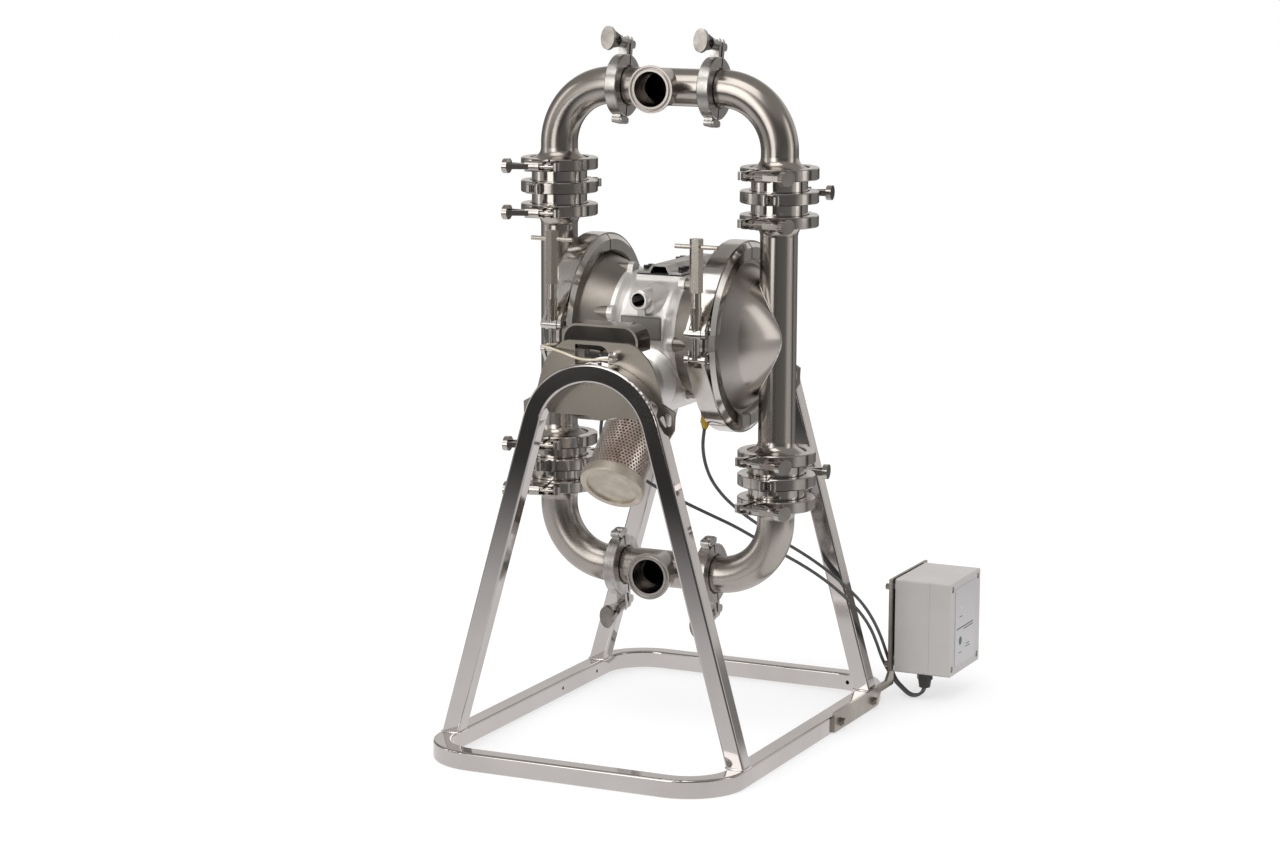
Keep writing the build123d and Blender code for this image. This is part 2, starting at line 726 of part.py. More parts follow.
def diaphragm_band():
    """Strap round the vee ring, with a rolled end at each side of the closure."""
    ring = along_x(extrude(Circle(strap_r) - Circle(band_r), strap_half, both=True))
    ends = [strap_end(lower_pin_z), strap_end(upper_pin_z)]
    far = 2 * strap_r
    low, high = [(far * y, far * z) for flat, loop, (y, z) in ends]
    wedge = Plane.YZ * make_face(Polyline((0, 0), low, (-far, 0), high, close=True))
    shape = vee_ring() + (ring - extrude(wedge, far, both=True))
    for flat, loop, out in ends:
        shape += extrude(flat, strap_half, both=True) + extrude(loop, loop_half, both=True)
    slot_foot = lower_pin_z - 2 * loop_r
    slot = Box(2 * bolt_slot_half, bolt_slot_depth, bolt_slot_top - slot_foot)
    shape -= Pos(0, -band_bolt_y, (bolt_slot_top + slot_foot) / 2) * slot
    return Pos(ring_plane, 0, 0) * shape


def band_bolt():
    """Bolt hanging from its lower pin, and the seat that rides on the upper pin."""
    top = nut_hex_z + 15
    pin = along_x(Cylinder(pin_r, 2 * loop_half))
    bolt = Pos(0, 0, lower_pin_z) * (upright(band_bolt_r, top - lower_pin_z) + pin)
    seat = pin + along_x(Cylinder(saddle_r, 2 * bolt_slot_half - 1)) + upright(saddle_r - 1, nut_seat_z - upper_pin_z)
    seat = Pos(0, 0, upper_pin_z) * seat - Pos(0, 0, lower_pin_z) * upright(band_bolt_r + pin_gap, top)
    place = Pos(ring_plane, -band_bolt_y, 0)
    return [place * bolt, place * seat]


def band_nut():
    """Long hexagon nut over a tapered skirt, with a cross pin through its top."""
    skirt = Cone(6.4, 8.2, nut_collar_z - nut_seat_z, align=(Align.CENTER, Align.CENTER, Align.MIN))
    collar = upright(7.0, nut_hex_z - nut_collar_z)
    grip = extrude(RegularPolygon(hex_width / 2, 6, major_radius=False, rotation=10), nut_top_z - nut_hex_z)
    nut = Pos(0, 0, nut_seat_z) * skirt + Pos(0, 0, nut_collar_z) * collar + Pos(0, 0, nut_hex_z) * grip
    nut -= upright(band_bolt_r + pin_gap, nut_hex_z + 18)
    nut += Pos(0, 0, nut_top_z - cross_pin_drop) * along_x(Cylinder(cross_pin_r, cross_pin_length))
    return Pos(ring_plane, -band_bolt_y, 0) * nut


# Centre casting, made about the middle of the shaft

def barrel():
    """Barrel between the air covers, flared gently at both ends, with a lug for each bolt boss."""
    half = center_half
    flare = [(barrel_end_r, half), (barrel_end_r - 1.5, half - 5), (barrel_end_r - 4.5, half - 10),
             (barrel_r + 1, half - 15), (barrel_r, half - 19)]
    shape = along_x(turned((0, -half), *[(r, -x) for r, x in flare], *reversed(flare), (0, half)))
    for side, angle in ((-1, left_boss_angle), (1, right_boss_angle)):
        for step in range(6):
            turn = radians(angle + 60 * step)
            middle = (side * (half - 4), -boss_circle_r * cos(turn), boss_circle_r * sin(turn))
            shape += Pos(*middle) * along_x(Cylinder(boss_r + 1.5, 8))
    return shape


def pivot_barrel():
    """Barrel across the casting that carries a journal at each end, about the tilt axis."""
    start = journal_shoulder
    tip = plate_face - journal_past_plate
    front = along_front(turned(
        (0, 0), (pivot_barrel_r, 0), (pivot_barrel_r, pivot_barrel_y - 6), (pivot_barrel_r - 6, pivot_barrel_y),
        (neck_r + 6, pivot_barrel_y + 6), (neck_r, pivot_barrel_y + 18), (neck_r, start - shoulder_thick - 4),
        (shoulder_r, start - shoulder_thick), (shoulder_r, start), (journal_r, start), (journal_r, tip - 1.5),
        (journal_r - 1.5, tip), (0, tip),
    ))
    return Pos(0, 0, -pivot_drop) * (front + rearward(front))


def valve_block():
    """Block on the casting's top and back that houses the air valve."""
    length = valve_block_back + valve_block_front
    block = Box(2 * valve_block_half, length, valve_block_height, align=(Align.CENTER, Align.CENTER, Align.MAX))
    block = fillet(block.edges().filter_by(Axis.Z).group_by(Axis.Y)[-1], 12)
    return Pos(0, (valve_block_back - valve_block_front) / 2, valve_face) * block


def inlet_boss():
    """Air inlet boss with its buttress, and the bare raised pad below it."""
    boss = rod(inlet_boss_r, (0, -20, inlet_rise), (0, -boss_face - boss_stand, inlet_rise))
    boss = chamfer(boss.edges().group_by(Axis.Y)[0], 1.5)
    cone = Cone(26, 11, barrel_r - 45, align=(Align.CENTER, Align.CENTER, Align.MIN))
    buttress = Pos(6, 30 - barrel_r, inlet_rise - 8) * along_front(cone)
    neck = Pos(0, -boss_face, inlet_rise - 20) * Box(11, 2 * (boss_face - 40), 30)
    pad = Pos(0, -boss_face, pad_middle) * Box(pad_width, 2 * (boss_face - 45), pad_height)
    pad = fillet(pad.edges().filter_by(Axis.Y), 4)
    size = 4 * barrel_r
    behind = Pos(0, -boss_face, 0) * Box(size, size, size, align=(Align.CENTER, Align.MIN, Align.CENTER))
    return boss + ((buttress + neck + pad) & behind)


def muffler_place():
    """Frame whose Z runs down the muffler from where its axis crosses the level of the tilt axis."""
    lean = radians(muffler_angle)
    return Plane(origin=(0, -muffler_back, -pivot_drop), x_dir=(1, 0, 0), z_dir=(0, -cos(lean), -sin(lean))).location


def center_section():
    """The whole casting with its bores and the muffler's pocket."""
    shape = barrel() + pivot_barrel() + valve_block() + inlet_boss()
    shape -= along_x(Cylinder(shaft_r + slide_gap, 3 * center_half))
    spool_room = 2 * (spool_half + spool_travel + 1)
    shape -= Pos(0, spool_back, spool_rise) * along_x(Cylinder(spool_r + slide_gap, spool_room))
    bore = along_front(upright(inlet_r, 2 * inlet_depth))
    shape -= Pos(0, inlet_depth - boss_face - boss_stand, inlet_rise) * bore
    room = upright(muffler_r + seat_gap, muffler_end)
    return shape - muffler_place() * Pos(0, 0, muffler_start) * room


def valve_cover():
    """Cover plate with a hollow raised channel, on its seal, and its screws."""
    length = valve_block_back + valve_block_front
    middle = (valve_block_back - valve_block_front) / 2
    half = valve_block_half - 1
    seal = Box(2 * half, length, cover_seal, align=(Align.CENTER, Align.CENTER, Align.MIN))
    rise = cover_plate + channel_rise
    wall = 2.0
    outer = outline((-half, 0), (half, 0), (half, cover_plate - 1), (channel_half + 6, cover_plate),
                    (channel_half, rise), (-channel_half, rise), (-channel_half - 6, cover_plate),
                    (-half, cover_plate - 1))
    inner = outline((-channel_half - 3, 0), (channel_half + 3, 0), (channel_half - wall, rise - wall),
                    (wall - channel_half, rise - wall))
    plate = Pos(0, length / 2, cover_seal) * extrude(outer - inner, length)
    pieces = [Pos(0, middle, valve_face) * seal, Pos(0, middle, valve_face) * plate]
    for y in (16 - length / 2, 30 - length / 2, length / 2 - 30, length / 2 - 16):
        for side in (-1, 1):
            head = Pos(side * (half - 7), middle + y, valve_face + cover_seal + cover_plate)
            pieces.append(head * upright(screw_head_r, screw_head))
    return pieces


def index_plate():
    """Bent plate that stands on the journal's shoulder and shows behind the saddle's window, with its screw."""
    front = plate_rear - index_gap
    back = journal_shoulder - shoulder_thick
    profile = make_face(Plane.YZ * Polyline(
        (-back, neck_r + 1), (-journal_shoulder, neck_r + 1), (-journal_shoulder, index_inner),
        (-front, index_inner), (-front, index_front), (index_thick - front, index_front),
        (index_thick - front, index_inner + index_thick), (-back, index_inner + index_thick), close=True))
    plate = extrude(profile, index_half, both=True)
    limit = along_front(turned((shoulder_r + pin_gap, 0), (index_front, 0), (index_front, plate_rear),
                               (shoulder_r + pin_gap, plate_rear)))
    hexagon = RegularPolygon(screw_flats / 2, 6, major_radius=False, rotation=8)
    head = Pos(index_screw_x, -front, index_screw_r) * along_front(extrude(hexagon, 5.5))
    axis = Pos(0, 0, -pivot_drop)
    return [axis * (plate & limit), axis * head]


def muffler():
    """Porous core, mesh sleeve and end cap of the exhaust muffler."""
    length = muffler_end - cap_depth - muffler_start
    place = muffler_place() * Pos(0, 0, muffler_start)
    core = upright(core_r, length)
    mesh = extrude(Circle(muffler_r) - Circle(muffler_r - mesh_wall), length)
    cap = upright(cap_r, cap_depth)
    cap = chamfer(cap.edges().group_by(Axis.Z)[0], 3)
    cap = fillet(cap.edges().group_by(Axis.Z)[-1], 2.5)
    cap -= Pos(0, 0, cap_depth - cap_recess) * upright(cap_r - 9, cap_recess)
    return place * core, place * mesh, place * Pos(0, 0, length) * cap


def leak_sensor():
    """Right leak sensor screwed into the air cover's boss, pointing down."""
    length = sensor_tip - sensor_start
    body = upright(sensor_r, length - 8)
    grip = Pos(0, 0, 6) * extrude(RegularPolygon(sensor_r + 1.5, 6), 8)
    tip = Cone(sensor_r - 1, lead_r + 1, 8, align=(Align.CENTER, Align.CENTER, Align.MIN))
    return sensor_place() * (body + grip + Pos(0, 0, length - 8) * tip)


# Leak detector

def hex_screw(width, height):
    """Hexagon screw head on a washer, standing on Z = 0."""
    head = extrude(RegularPolygon(width / 2, 6, major_radius=False), height)
    return upright(width * 0.62, 1.2) + Pos(0, 0, 1.2) * head


def box_arm():
    """Flat arm bolted to the side rail, which turns up behind the box, and its screws."""
    inner = stand_width / 2
    neck_foot = arm_top - 11
    notch = box_bottom + 8
    corners = [
        (arm_start, arm_foot), (arm_neck - 10, arm_foot), (arm_neck, arm_foot + 10), (arm_neck + 6, neck_foot),
        (box_front + 4, neck_foot), (box_front + 4, notch), (plate_back, notch), (plate_back, plate_top),
        (plate_front, plate_top), (plate_front, arm_top + 12), (plate_front - 12, arm_top), (arm_start, arm_top),
    ]
    bar = extrude(Pos(inner, 0, 0) * (Plane.YZ * make_face(Polyline(*corners, close=True))), arm_thick)
    pieces = [bar]
    for y in arm_bolt_y:
        pieces.append(Pos(inner + arm_thick, y, 12) * along_x(hex_screw(10, 5)))
    for z in (box_bottom + 12, plate_top - 12):
        pieces.append(Pos(inner, plate_front + 6, z) * Rot(0, -90, 0) * hex_screw(8, 5))
    return pieces


def leak_box():
    """Base and lid of the detector box with their screws, and the lid's bare label plate."""
    back_x = stand_width / 2 + arm_thick + box_spacer
    middle = Pos(back_x, box_front + box_width / 2, box_bottom + box_height / 2)
    side = Rot(0, 90, 0) * RectangleRounded(box_height, box_width, box_edge)
    base = middle * extrude(side, box_base_depth)
    base = chamfer(base.edges().group_by(Axis.X)[-1], box_seam)
    spacer = Pos(back_x - box_spacer, 0, 0) * along_x(upright(5, box_spacer))
    spacers = [Pos(0, y, z) * spacer for y in (box_front + 8, box_front + box_width - 8)
               for z in (box_bottom + 20, box_bottom + box_height - 12)]
    lid = middle * Pos(box_base_depth, 0, 0) * extrude(side, box_lid_depth)
    lid = chamfer(lid.edges().group_by(Axis.X)[0], box_seam)
    front_x = box_base_depth + box_lid_depth
    screws = []
    for y in (lid_screw_inset - box_width / 2, box_width / 2 - lid_screw_inset):
        for z in (lid_screw_inset - box_height / 2, box_height / 2 - lid_screw_inset):
            place = middle * Pos(front_x, y, z) * Rot(0, -90, 0)
            lid -= place * upright(lid_screw_r + 0.6, 6)
            screws.append(place * Pos(0, 0, 1) * upright(lid_screw_r, 5))
    label = Rot(0, 90, 0) * RectangleRounded(box_height - 22, box_width - 42, 2)
    label = middle * Pos(front_x, 0, 0) * extrude(label, label_thick)
    return [base, *spacers], [lid, *screws, label]


def cable_gland():
    """Dome nut of the cable gland under the box."""
    dome = Cone(gland_r - 4, gland_r - 1, gland_length, align=(Align.CENTER, Align.CENTER, Align.MIN))
    grip = Pos(0, 0, -8) * extrude(RegularPolygon(gland_r, 6), 8)
    gland = Pos(gland_x, gland_y, box_bottom) * (grip + Pos(0, 0, -gland_length) * dome)
    for side in (-1, 1):
        hole = upright(lead_r + seat_gap, lead_hole)
        gland -= Pos(gland_x, gland_y + side * lead_apart, box_bottom - gland_length) * hole
    return gland


# Leads and lanyard

def corner_radii(points, share=0.45):
    """Largest radius that each corner's two runs allow."""
    radii = []
    for before, corner, after in zip(points, points[1:], points[2:]):
        first = Vector(*corner) - Vector(*before)
        second = Vector(*after) - Vector(*corner)
        half_turn = radians(first.get_angle(second)) / 2
        radii.append(share * min(first.length, second.length) / tan(half_turn))
    print("cord radii", [round(r, 1) for r in radii])
    return radii


def cord(radius, points):
    """Round cord along straight runs joined by tangent arcs."""
    path = FilletPolyline(*points, radius=corner_radii(points))
    section = Plane(origin=path @ 0, z_dir=path % 0) * Circle(radius)
    tube = sweep(section, path)
    print(f"cord length {path.length:.1f} volume ratio {tube.volume / (pi * radius ** 2 * path.length):.4f}")
    return tube


def sensor_lead_start(side):
    """Two first points of a lead, along its sensor."""
    turn = radians(sensor_turn)
    return [(side * sensor_x, -r * sin(turn), pump_z - r * cos(turn)) for r in (sensor_tip, sensor_tip + 14)]


def lead_end(y):
    """Last points of a lead: under the box and up into the gland."""
    top = box_bottom - gland_length + lead_hole
    return [(228.8, y, 22.5), (240.5, y, 12.5), (250.3, y, 4.6), (259.9, y, 3.3), (268.8, y, 7.2),
            (gland_x, y, 15.3), (gland_x, y, top)]


right_lead = [
    *sensor_lead_start(1), (76, -47, 405), (74, -37, 389), (71, -21, 373), (68.5, -2, 357),
    (67.5, 20, 340.5), (69, 44, 323), (73, 70, 305.5), (80, 100, 286), (92, 135, 264), (107, 165, 241.5),
    (126, 186, 224), (147, 199, 207), (168, 206.5, 190), (189.5, 213, 171), (204, 233, 146), (212, 252, 120),
    (216.5, 270, 94), (218.5, 286, 69), (221, 299, 45), *lead_end(gland_y + lead_apart),
]
left_lead = [
    *sensor_lead_start(-1), (-75.5, -47, 405), (-70, -38, 389), (-59, -25, 374), (-45, -10, 358),
    (-28, 6, 342), (-11, 23, 327), (6, 41, 313), (24, 58, 300), (43, 75, 287), (61, 93, 274), (78, 114, 258),
    (94, 137, 241), (110, 158, 225), (128, 176, 210), (148, 190, 194), (169, 199, 177), (190, 208, 157),
    (203, 227, 134), (210.5, 246, 109), (213, 264, 84), (213.5, 281, 61), (218, 293.5, 40.5),
    *lead_end(gland_y - lead_apart),
]
lanyard_route = [
    (-ring_plane, -146.6, 550.5), (-ring_plane, -158, 550.5), (-104, -173, 552), (-98, -188, 554.5),
    (-88, -202, 556.5), (-74, -214.5, 557.5), (-57, -224, 556.5), (-40, -231.5, 554), (-24, -237.5, 551),
    (-10, -241.5, 549.5), (5, -243.3, 550), (18.4, -242.9, 552),
]


def lanyard():
    """Lanyard from an eye round the left band bolt to an eye through the lock pin's split ring."""
    eye = Torus(lanyard_eye_r, lanyard_eye_wire)
    around_bolt = Pos(-ring_plane, -band_bolt_y, lanyard_route[0][2]) * eye
    in_ring = Pos(lock_x, lanyard_route[-1][1], pivot_z + lock_rise) * eye
    return [cord(lanyard_r, lanyard_route), around_bolt, in_ring]


# Writing the pieces

def write_stand():
    save("base_frame", [base_frame()])
    save("rear_leg_frame", [leg_frame()])
    save("front_leg_frame", [rearward(leg_frame())])
    save("front_saddle", [front_saddle(True), front_bush()])
    save("rear_saddle", [rearward(front_saddle(False)), rearward(front_bush())])
    save("lock_pin", lock_pin())
    base, lid = leak_box()
    save("box_arm", box_arm())
    save("leak_box_base", base)
    save("leak_box_lid", lid)
    save("cable_gland", [cable_gland()])


def write_manifold():
    middle = Pos(0, 0, pump_z)
    save("outlet_tee", [middle * Pos(0, 0, manifold_rise) * tee()])
    save("inlet_tee", [middle * Pos(0, 0, -manifold_rise) * tee()])
    one = elbow()
    save("upper_elbow_right", [middle * one])
    save("upper_elbow_left", [middle * leftward(one)])
    save("lower_elbow_right", [middle * inverted(one)])
    save("lower_elbow_left", [middle * leftward(inverted(one))])
    place = manifold_clamp_place()
    upper = [place * piece for piece in (*clamp(small_joint), wing_nut(small_joint))]
    lower = [Pos(0, 0, 2 * pump_z) * inverted(piece) for piece in upper]
    for height, pieces in (("upper", upper), ("lower", lower)):
        for side, placed in (("left", pieces), ("right", [leftward(piece) for piece in pieces])):
            save(f"{height}_clamp_{side}", placed[:-1])
            save(f"{height}_clamp_nut_{side}", placed[-1:])


def write_stacks():
    lower_body = valve_body(valve_seat())
    upper_body = valve_body(ball_cage())
    gaskets = []
    for height, sign in (("upper", 1), ("lower", -1)):
        low_joint = stack_start if sign > 0 else -stack_start - 2 * stack_pitch
        clamps = stack_clamps(sign)
        for side, x in (("left", -1), ("right", 1)):
            foot = Pos(x * riser_x, 0, pump_z + low_joint + gasket / 2)
            save(f"{height}_valve_{side}", [foot * lower_body, foot * Pos(0, 0, stack_pitch) * upper_body])
            save(f"{height}_ball_{side}", [foot * Pos(0, 0, ball_rest()) * Sphere(ball_r)])
            save(f"{height}_stack_clamps_{side}", clamps if x < 0 else [leftward(c) for c in clamps])
            for step in range(3):
                bore = valve_bore if step == 1 else tube_bore
                joint = Pos(x * riser_x, 0, pump_z + sign * (stack_start + step * stack_pitch))
                gaskets.append(joint * gasket_ring(bore, large_joint))
            joint = Pos(x * tee_half, 0, pump_z + sign * manifold_rise)
            gaskets.append(joint * along_x(gasket_ring(tube_bore, small_joint)))
    save("clamp_gaskets", gaskets)


def write_chambers():
    middle = Pos(0, 0, pump_z)
    pieces = {
        "diaphragm": [diaphragm()],
        "fluid_cover": [fluid_cover()],
        "diaphragm_band": [diaphragm_band(), *band_bolt()],
        "band_nut": [band_nut()],
        "leak_sensor": [leak_sensor()],
    }
    for name, solids in pieces.items():
        save(f"{name}_right", [middle * solid for solid in solids])
        save(f"{name}_left", [middle * leftward(solid) for solid in solids])
    save("air_cover_right", [middle * air_cover(right_boss_angle)])
    save("air_cover_left", [middle * leftward(air_cover(left_boss_angle))])


def write_center():
    middle = Pos(0, 0, pump_z)
    save("center_section", [middle * center_section()])
    save("valve_cover", [middle * piece for piece in valve_cover()])
    save("index_plate", [middle * piece for piece in index_plate()])
    core, mesh, cap = muffler()
    save("muffler_core", [middle * core])
    save("muffler_mesh", [middle * mesh])
    save("muffler_cap", [middle * cap])
    piston = Pos(0, 0, shaft_half - piston_thick) * upright(piston_r, piston_thick)
    shaft = Cylinder(shaft_r, 2 * shaft_half) + piston + inverted(piston)
    save("diaphragm_shaft", [middle * along_x(shaft)])
    save("air_spool", [middle * Pos(0, spool_back, spool_rise) * along_x(Cylinder(spool_r, 2 * spool_half))])


def write_cords():
    save("right_sensor_lead", [cord(lead_r, right_lead)])
    save("left_sensor_lead", [cord(lead_r, left_lead)])
    save("lanyard", lanyard())


write_stand()
write_cords()
write_manifold()
write_stacks()
write_chambers()
write_center()
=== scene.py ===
# %% [markdown]
# # A sanitary double-diaphragm pump in its tilting stand
# The metal pieces come ready-made from the CAD frame, so this lesson is about finishes: how polished tube,
# satin sheet, cast clamps and bead-blasted metal differ. It also adds the small things that the CAD leaves
# out: leads, a wire lanyard, weld beads, a sheet of painted shade in the collar and the muffler's sleeve
# holes.

# %% Load the frame
from math import cos, pi, radians, sin, sqrt

import bmesh
import bpy
from mathutils import Matrix, Vector


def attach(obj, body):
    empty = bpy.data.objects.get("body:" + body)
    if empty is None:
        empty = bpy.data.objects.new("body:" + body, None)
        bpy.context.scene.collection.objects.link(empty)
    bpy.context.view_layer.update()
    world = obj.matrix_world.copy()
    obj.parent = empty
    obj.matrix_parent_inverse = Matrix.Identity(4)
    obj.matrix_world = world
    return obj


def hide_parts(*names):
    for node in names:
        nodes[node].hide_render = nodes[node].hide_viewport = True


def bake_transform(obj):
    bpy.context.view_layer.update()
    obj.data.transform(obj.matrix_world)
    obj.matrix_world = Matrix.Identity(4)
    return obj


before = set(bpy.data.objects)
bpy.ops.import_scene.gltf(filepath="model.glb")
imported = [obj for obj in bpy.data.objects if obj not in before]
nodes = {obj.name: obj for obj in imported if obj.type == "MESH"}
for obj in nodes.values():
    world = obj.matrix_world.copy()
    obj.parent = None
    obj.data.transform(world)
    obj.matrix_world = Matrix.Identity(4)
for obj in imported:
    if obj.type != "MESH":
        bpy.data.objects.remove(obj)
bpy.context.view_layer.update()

# %% [markdown]
# The CAD was drawn about the pump's middle and then moved so that the whole object's box stands centred on
# the floor. One vector holds that move, and `here` turns millimetres of the drawing into metres of the frame.

# %% From the drawing to the frame
DRAWING_ORIGIN = Vector((-45.4, -52.5, 0.0))
SHAFT_HEIGHT = 557.0
TILT_HEIGHT = 498.0


def here(x, y, z):
    """Point of the drawing, in millimetres, as a point of the frame, in metres."""
    return (Vector((x, y, z)) + DRAWING_ORIGIN) / 1000


print("shaft runs through", tuple(round(v, 4) for v in here(0, 0, SHAFT_HEIGHT)))

# %% [markdown]
# The camera stands a little above the pump's middle, to the right of its front, 4.4 m away with a long
# lens, so that the tubes stay nearly parallel. Its axes are set straight into its matrix, which also takes
# the slight roll that three turning angles would make harder to read.

# %% Camera
TURN, RISE, ROLL = radians(25.13), radians(9.88), radians(0.23)
DISTANCE = 4.4213                           # metres from the point it aims at
AIM_HEIGHT = 424.3                          # of that point over the floor, in millimetres
AIM_LEFT = 0.03633                          # metres from the pump's middle to that point
PICTURE_WIDTH, FOCAL_LENGTH = 1280, 3221.57 # both in pixels
SENSOR_WIDTH = 36


def make_camera():
    """Camera that looks at the pump from the photograph's side."""
    back = Vector((sin(TURN) * cos(RISE), -cos(TURN) * cos(RISE), sin(RISE)))
    level = Vector((cos(TURN), sin(TURN), 0))
    upright = back.cross(level)
    right = level * cos(ROLL) + upright * sin(ROLL)
    up = upright * cos(ROLL) - level * sin(ROLL)
    matrix = Matrix((right, up, back)).transposed().to_4x4()
    matrix.translation = here(0, 0, AIM_HEIGHT) - right * AIM_LEFT + back * DISTANCE
    data = bpy.data.cameras.new("camera")
    data.sensor_width = SENSOR_WIDTH
    data.lens = SENSOR_WIDTH * FOCAL_LENGTH / PICTURE_WIDTH
    data.clip_end = 200
    camera = bpy.data.objects.new("camera", data)
    camera.matrix_world = matrix
    bpy.context.scene.collection.objects.link(camera)
    bpy.context.scene.camera = camera
    return camera


print("lens", round(make_camera().data.lens, 1), "mm")

# %% [markdown]
# ## Writing nodes
# Materials, the floor and the world are all small networks of nodes. In the editor each node is dropped and
# wired by hand. In a script a few helpers keep that readable: each one places a node, feeds it and gives
# back its output, so that helpers can be put inside each other as a formula is.

# %% Helpers for nodes
def feed(tree, socket, value):
    """Links a socket to another node's output, or sets it to a plain value."""
    if isinstance(value, bpy.types.NodeSocket):
        tree.links.new(value, socket)
    else:
        socket.default_value = value


def maths(tree, operation, *values):
    """One Math node; each value is a socket or a number."""
    node = tree.nodes.new("ShaderNodeMath")
    node.operation = operation
    for socket, value in zip(node.inputs, values):
        feed(tree, socket, value)
    return node.outputs[0]


def vector_maths(tree, operation, first, second):
    """One Vector Math node; its number for a distance or a dot product, otherwise its vector."""
    node = tree.nodes.new("ShaderNodeVectorMath")
    node.operation = operation
    feed(tree, node.inputs[0], first)
    feed(tree, node.inputs[1], second)
    return node.outputs["Value" if operation in ("DISTANCE", "DOT_PRODUCT") else "Vector"]


def spread(tree, value, low, high, to=(0.0, 1.0), smooth=False):
    """One Map Range node: the first number of `to` at low, the second at high."""
    node = tree.nodes.new("ShaderNodeMapRange")
    if smooth:
        node.interpolation_type = "SMOOTHSTEP"
    ends = {"Value": value, "From Min": low, "From Max": high, "To Min": to[0], "To Max": to[1]}
    for label, end in ends.items():
        feed(tree, node.inputs[label], end)
    return node.outputs["Result"]


def mixed(tree, mask, below, above, kind="RGBA"):
    """One Mix node: below where the mask is 0, above where it is 1."""
    node = tree.nodes.new("ShaderNodeMix")
    node.data_type = kind
    for label, value in (("Factor", mask), ("A", below), ("B", above)):
        feed(tree, node.inputs[label], value)
    return node.outputs["Result"]


def ramp_of(tree, value, stops):
    """Colour ramp fed by a value; stops are (position, colour)."""
    node = tree.nodes.new("ShaderNodeValToRGB")
    ramp = node.color_ramp
    for element, (spot, shade) in zip(ramp.elements, (stops[0], stops[-1])):
        element.position, element.color = spot, (*shade, 1)
    for spot, shade in stops[1:-1]:
        ramp.elements.new(spot).color = (*shade, 1)
    feed(tree, node.inputs["Fac"], value)
    return node.outputs["Color"]


print("node helpers ready")

# %% [markdown]
# ## Surroundings
# Metal shows what stands round it. The surroundings are therefore the larger half of a steel look: light
# and dark walls all round, large soft lamps that show as bright bands, and plain white for the camera. The
# walls are a colour ramp over the compass angle, which costs nothing to render and can be moved by a degree.

# %% Walls by compass angle
WARM_GREY = (1.0, 0.965, 0.93)
WALLS = [(-180, 0.72), (-140, 0.66), (-128, 0.20), (-96, 0.24), (-86, 0.50), (-42, 0.52), (-34, 0.85),
         (-2, 0.90), (6, 0.30), (16, 0.12), (72, 0.14), (84, 0.50), (116, 0.46), (120, 0.05), (126, 0.05),
         (132, 0.40), (150, 0.70), (180, 0.72)]


def by_compass(tree, place, walls):
    """Warm grey by compass angle, in degrees from -Y towards +X; also gives the place's height."""
    split = tree.nodes.new("ShaderNodeSeparateXYZ")
    feed(tree, split.inputs[0], place)
    angle = maths(tree, "ARCTAN2", split.outputs["X"], maths(tree, "MULTIPLY", split.outputs["Y"], -1.0))
    stops = [((degrees + 180) / 360, tuple(v * part for part in WARM_GREY)) for degrees, v in walls]
    return ramp_of(tree, spread(tree, angle, -pi, pi), stops), split.outputs["Z"]


print("walls", len(WALLS))

# %% [markdown]
# The world asks which kind of ray is looking. The camera sees white, a matt surface gets even light, and
# only a reflection sees the walls, with a plain grey ceiling over them.

# %% World
BLACK, WHITE = (0, 0, 0, 1), (1, 1, 1, 1)
CEILING_GREY = (0.34, 0.325, 0.31, 1)
EVEN_LIGHT = (0.86, 0.86, 0.87, 1)
WALL_TOP, CEILING_START = 0.40, 0.52        # heights on the world's sphere


def make_world():
    """White to the camera, even light for matt surfaces, and a room of walls for reflections."""
    world = bpy.data.worlds.new("studio")
    bpy.context.scene.world = world
    world.use_nodes = True
    tree = world.node_tree
    path = tree.nodes.new("ShaderNodeLightPath").outputs
    walls, height = by_compass(tree, tree.nodes.new("ShaderNodeTexCoord").outputs["Generated"], WALLS)
    ceiling = ramp_of(tree, height, [(0.0, BLACK[:3]), (WALL_TOP, BLACK[:3]), (CEILING_START, WHITE[:3]),
                                     (1.0, WHITE[:3])])
    room = mixed(tree, ceiling, walls, CEILING_GREY)
    even = mixed(tree, path["Is Diffuse Ray"], room, EVEN_LIGHT)
    feed(tree, tree.nodes["Background"].inputs["Color"], mixed(tree, path["Is Camera Ray"], even, WHITE))


make_world()
print("world", bpy.context.scene.world.name)

# %% [markdown]
# Four large rectangular lamps stand for windows and a lit ceiling. Large lamps give soft shadows and, in a
# polished tube, the long bright bands that make it look round. A glowing plane would show the same bands,
# but an area lamp leaves less noise at few samples.

# %% Lamps
LAMP_COLOUR = (1.0, 0.985, 0.96)


def soft_lamp(name, place, aim, size, watts):
    """Large rectangular lamp that also shows in polished metal."""
    data = bpy.data.lights.new(name, "AREA")
    data.shape = "RECTANGLE"
    data.size, data.size_y = size
    data.energy = watts
    data.color = LAMP_COLOUR
    lamp = bpy.data.objects.new(name, data)
    lamp.location = place
    lamp.rotation_euler = (Vector(aim) - Vector(place)).to_track_quat("-Z", "Y").to_euler()
    bpy.context.scene.collection.objects.link(lamp)


soft_lamp("front_window", place=(-0.90, -3.3, 1.55), aim=(-0.2, 0, 1.2), size=(1.5, 2.9), watts=24)
soft_lamp("left_window", place=(-3.2, -1.2, 1.5), aim=(0, 0, 0.5), size=(0.8, 2.4), watts=7)
soft_lamp("right_window", place=(3.2, 0.5, 1.5), aim=(0, 0, 0.5), size=(0.9, 2.4), watts=6)
soft_lamp("ceiling", place=(-0.2, -1.3, 3.0), aim=(0, 0, 0.5), size=(2.2, 1.7), watts=20)
print("lamps", len(bpy.data.lights))

# %% [markdown]
# The floor is one large plane. To the camera it is a matt pale surface that takes the pump's shadow and
# gives off a little light, which lifts it to white. Metal sees it pale near the pump and, further off or
# well in front, in light and dark strips like a room's, which is what draws the bands on the tubes.

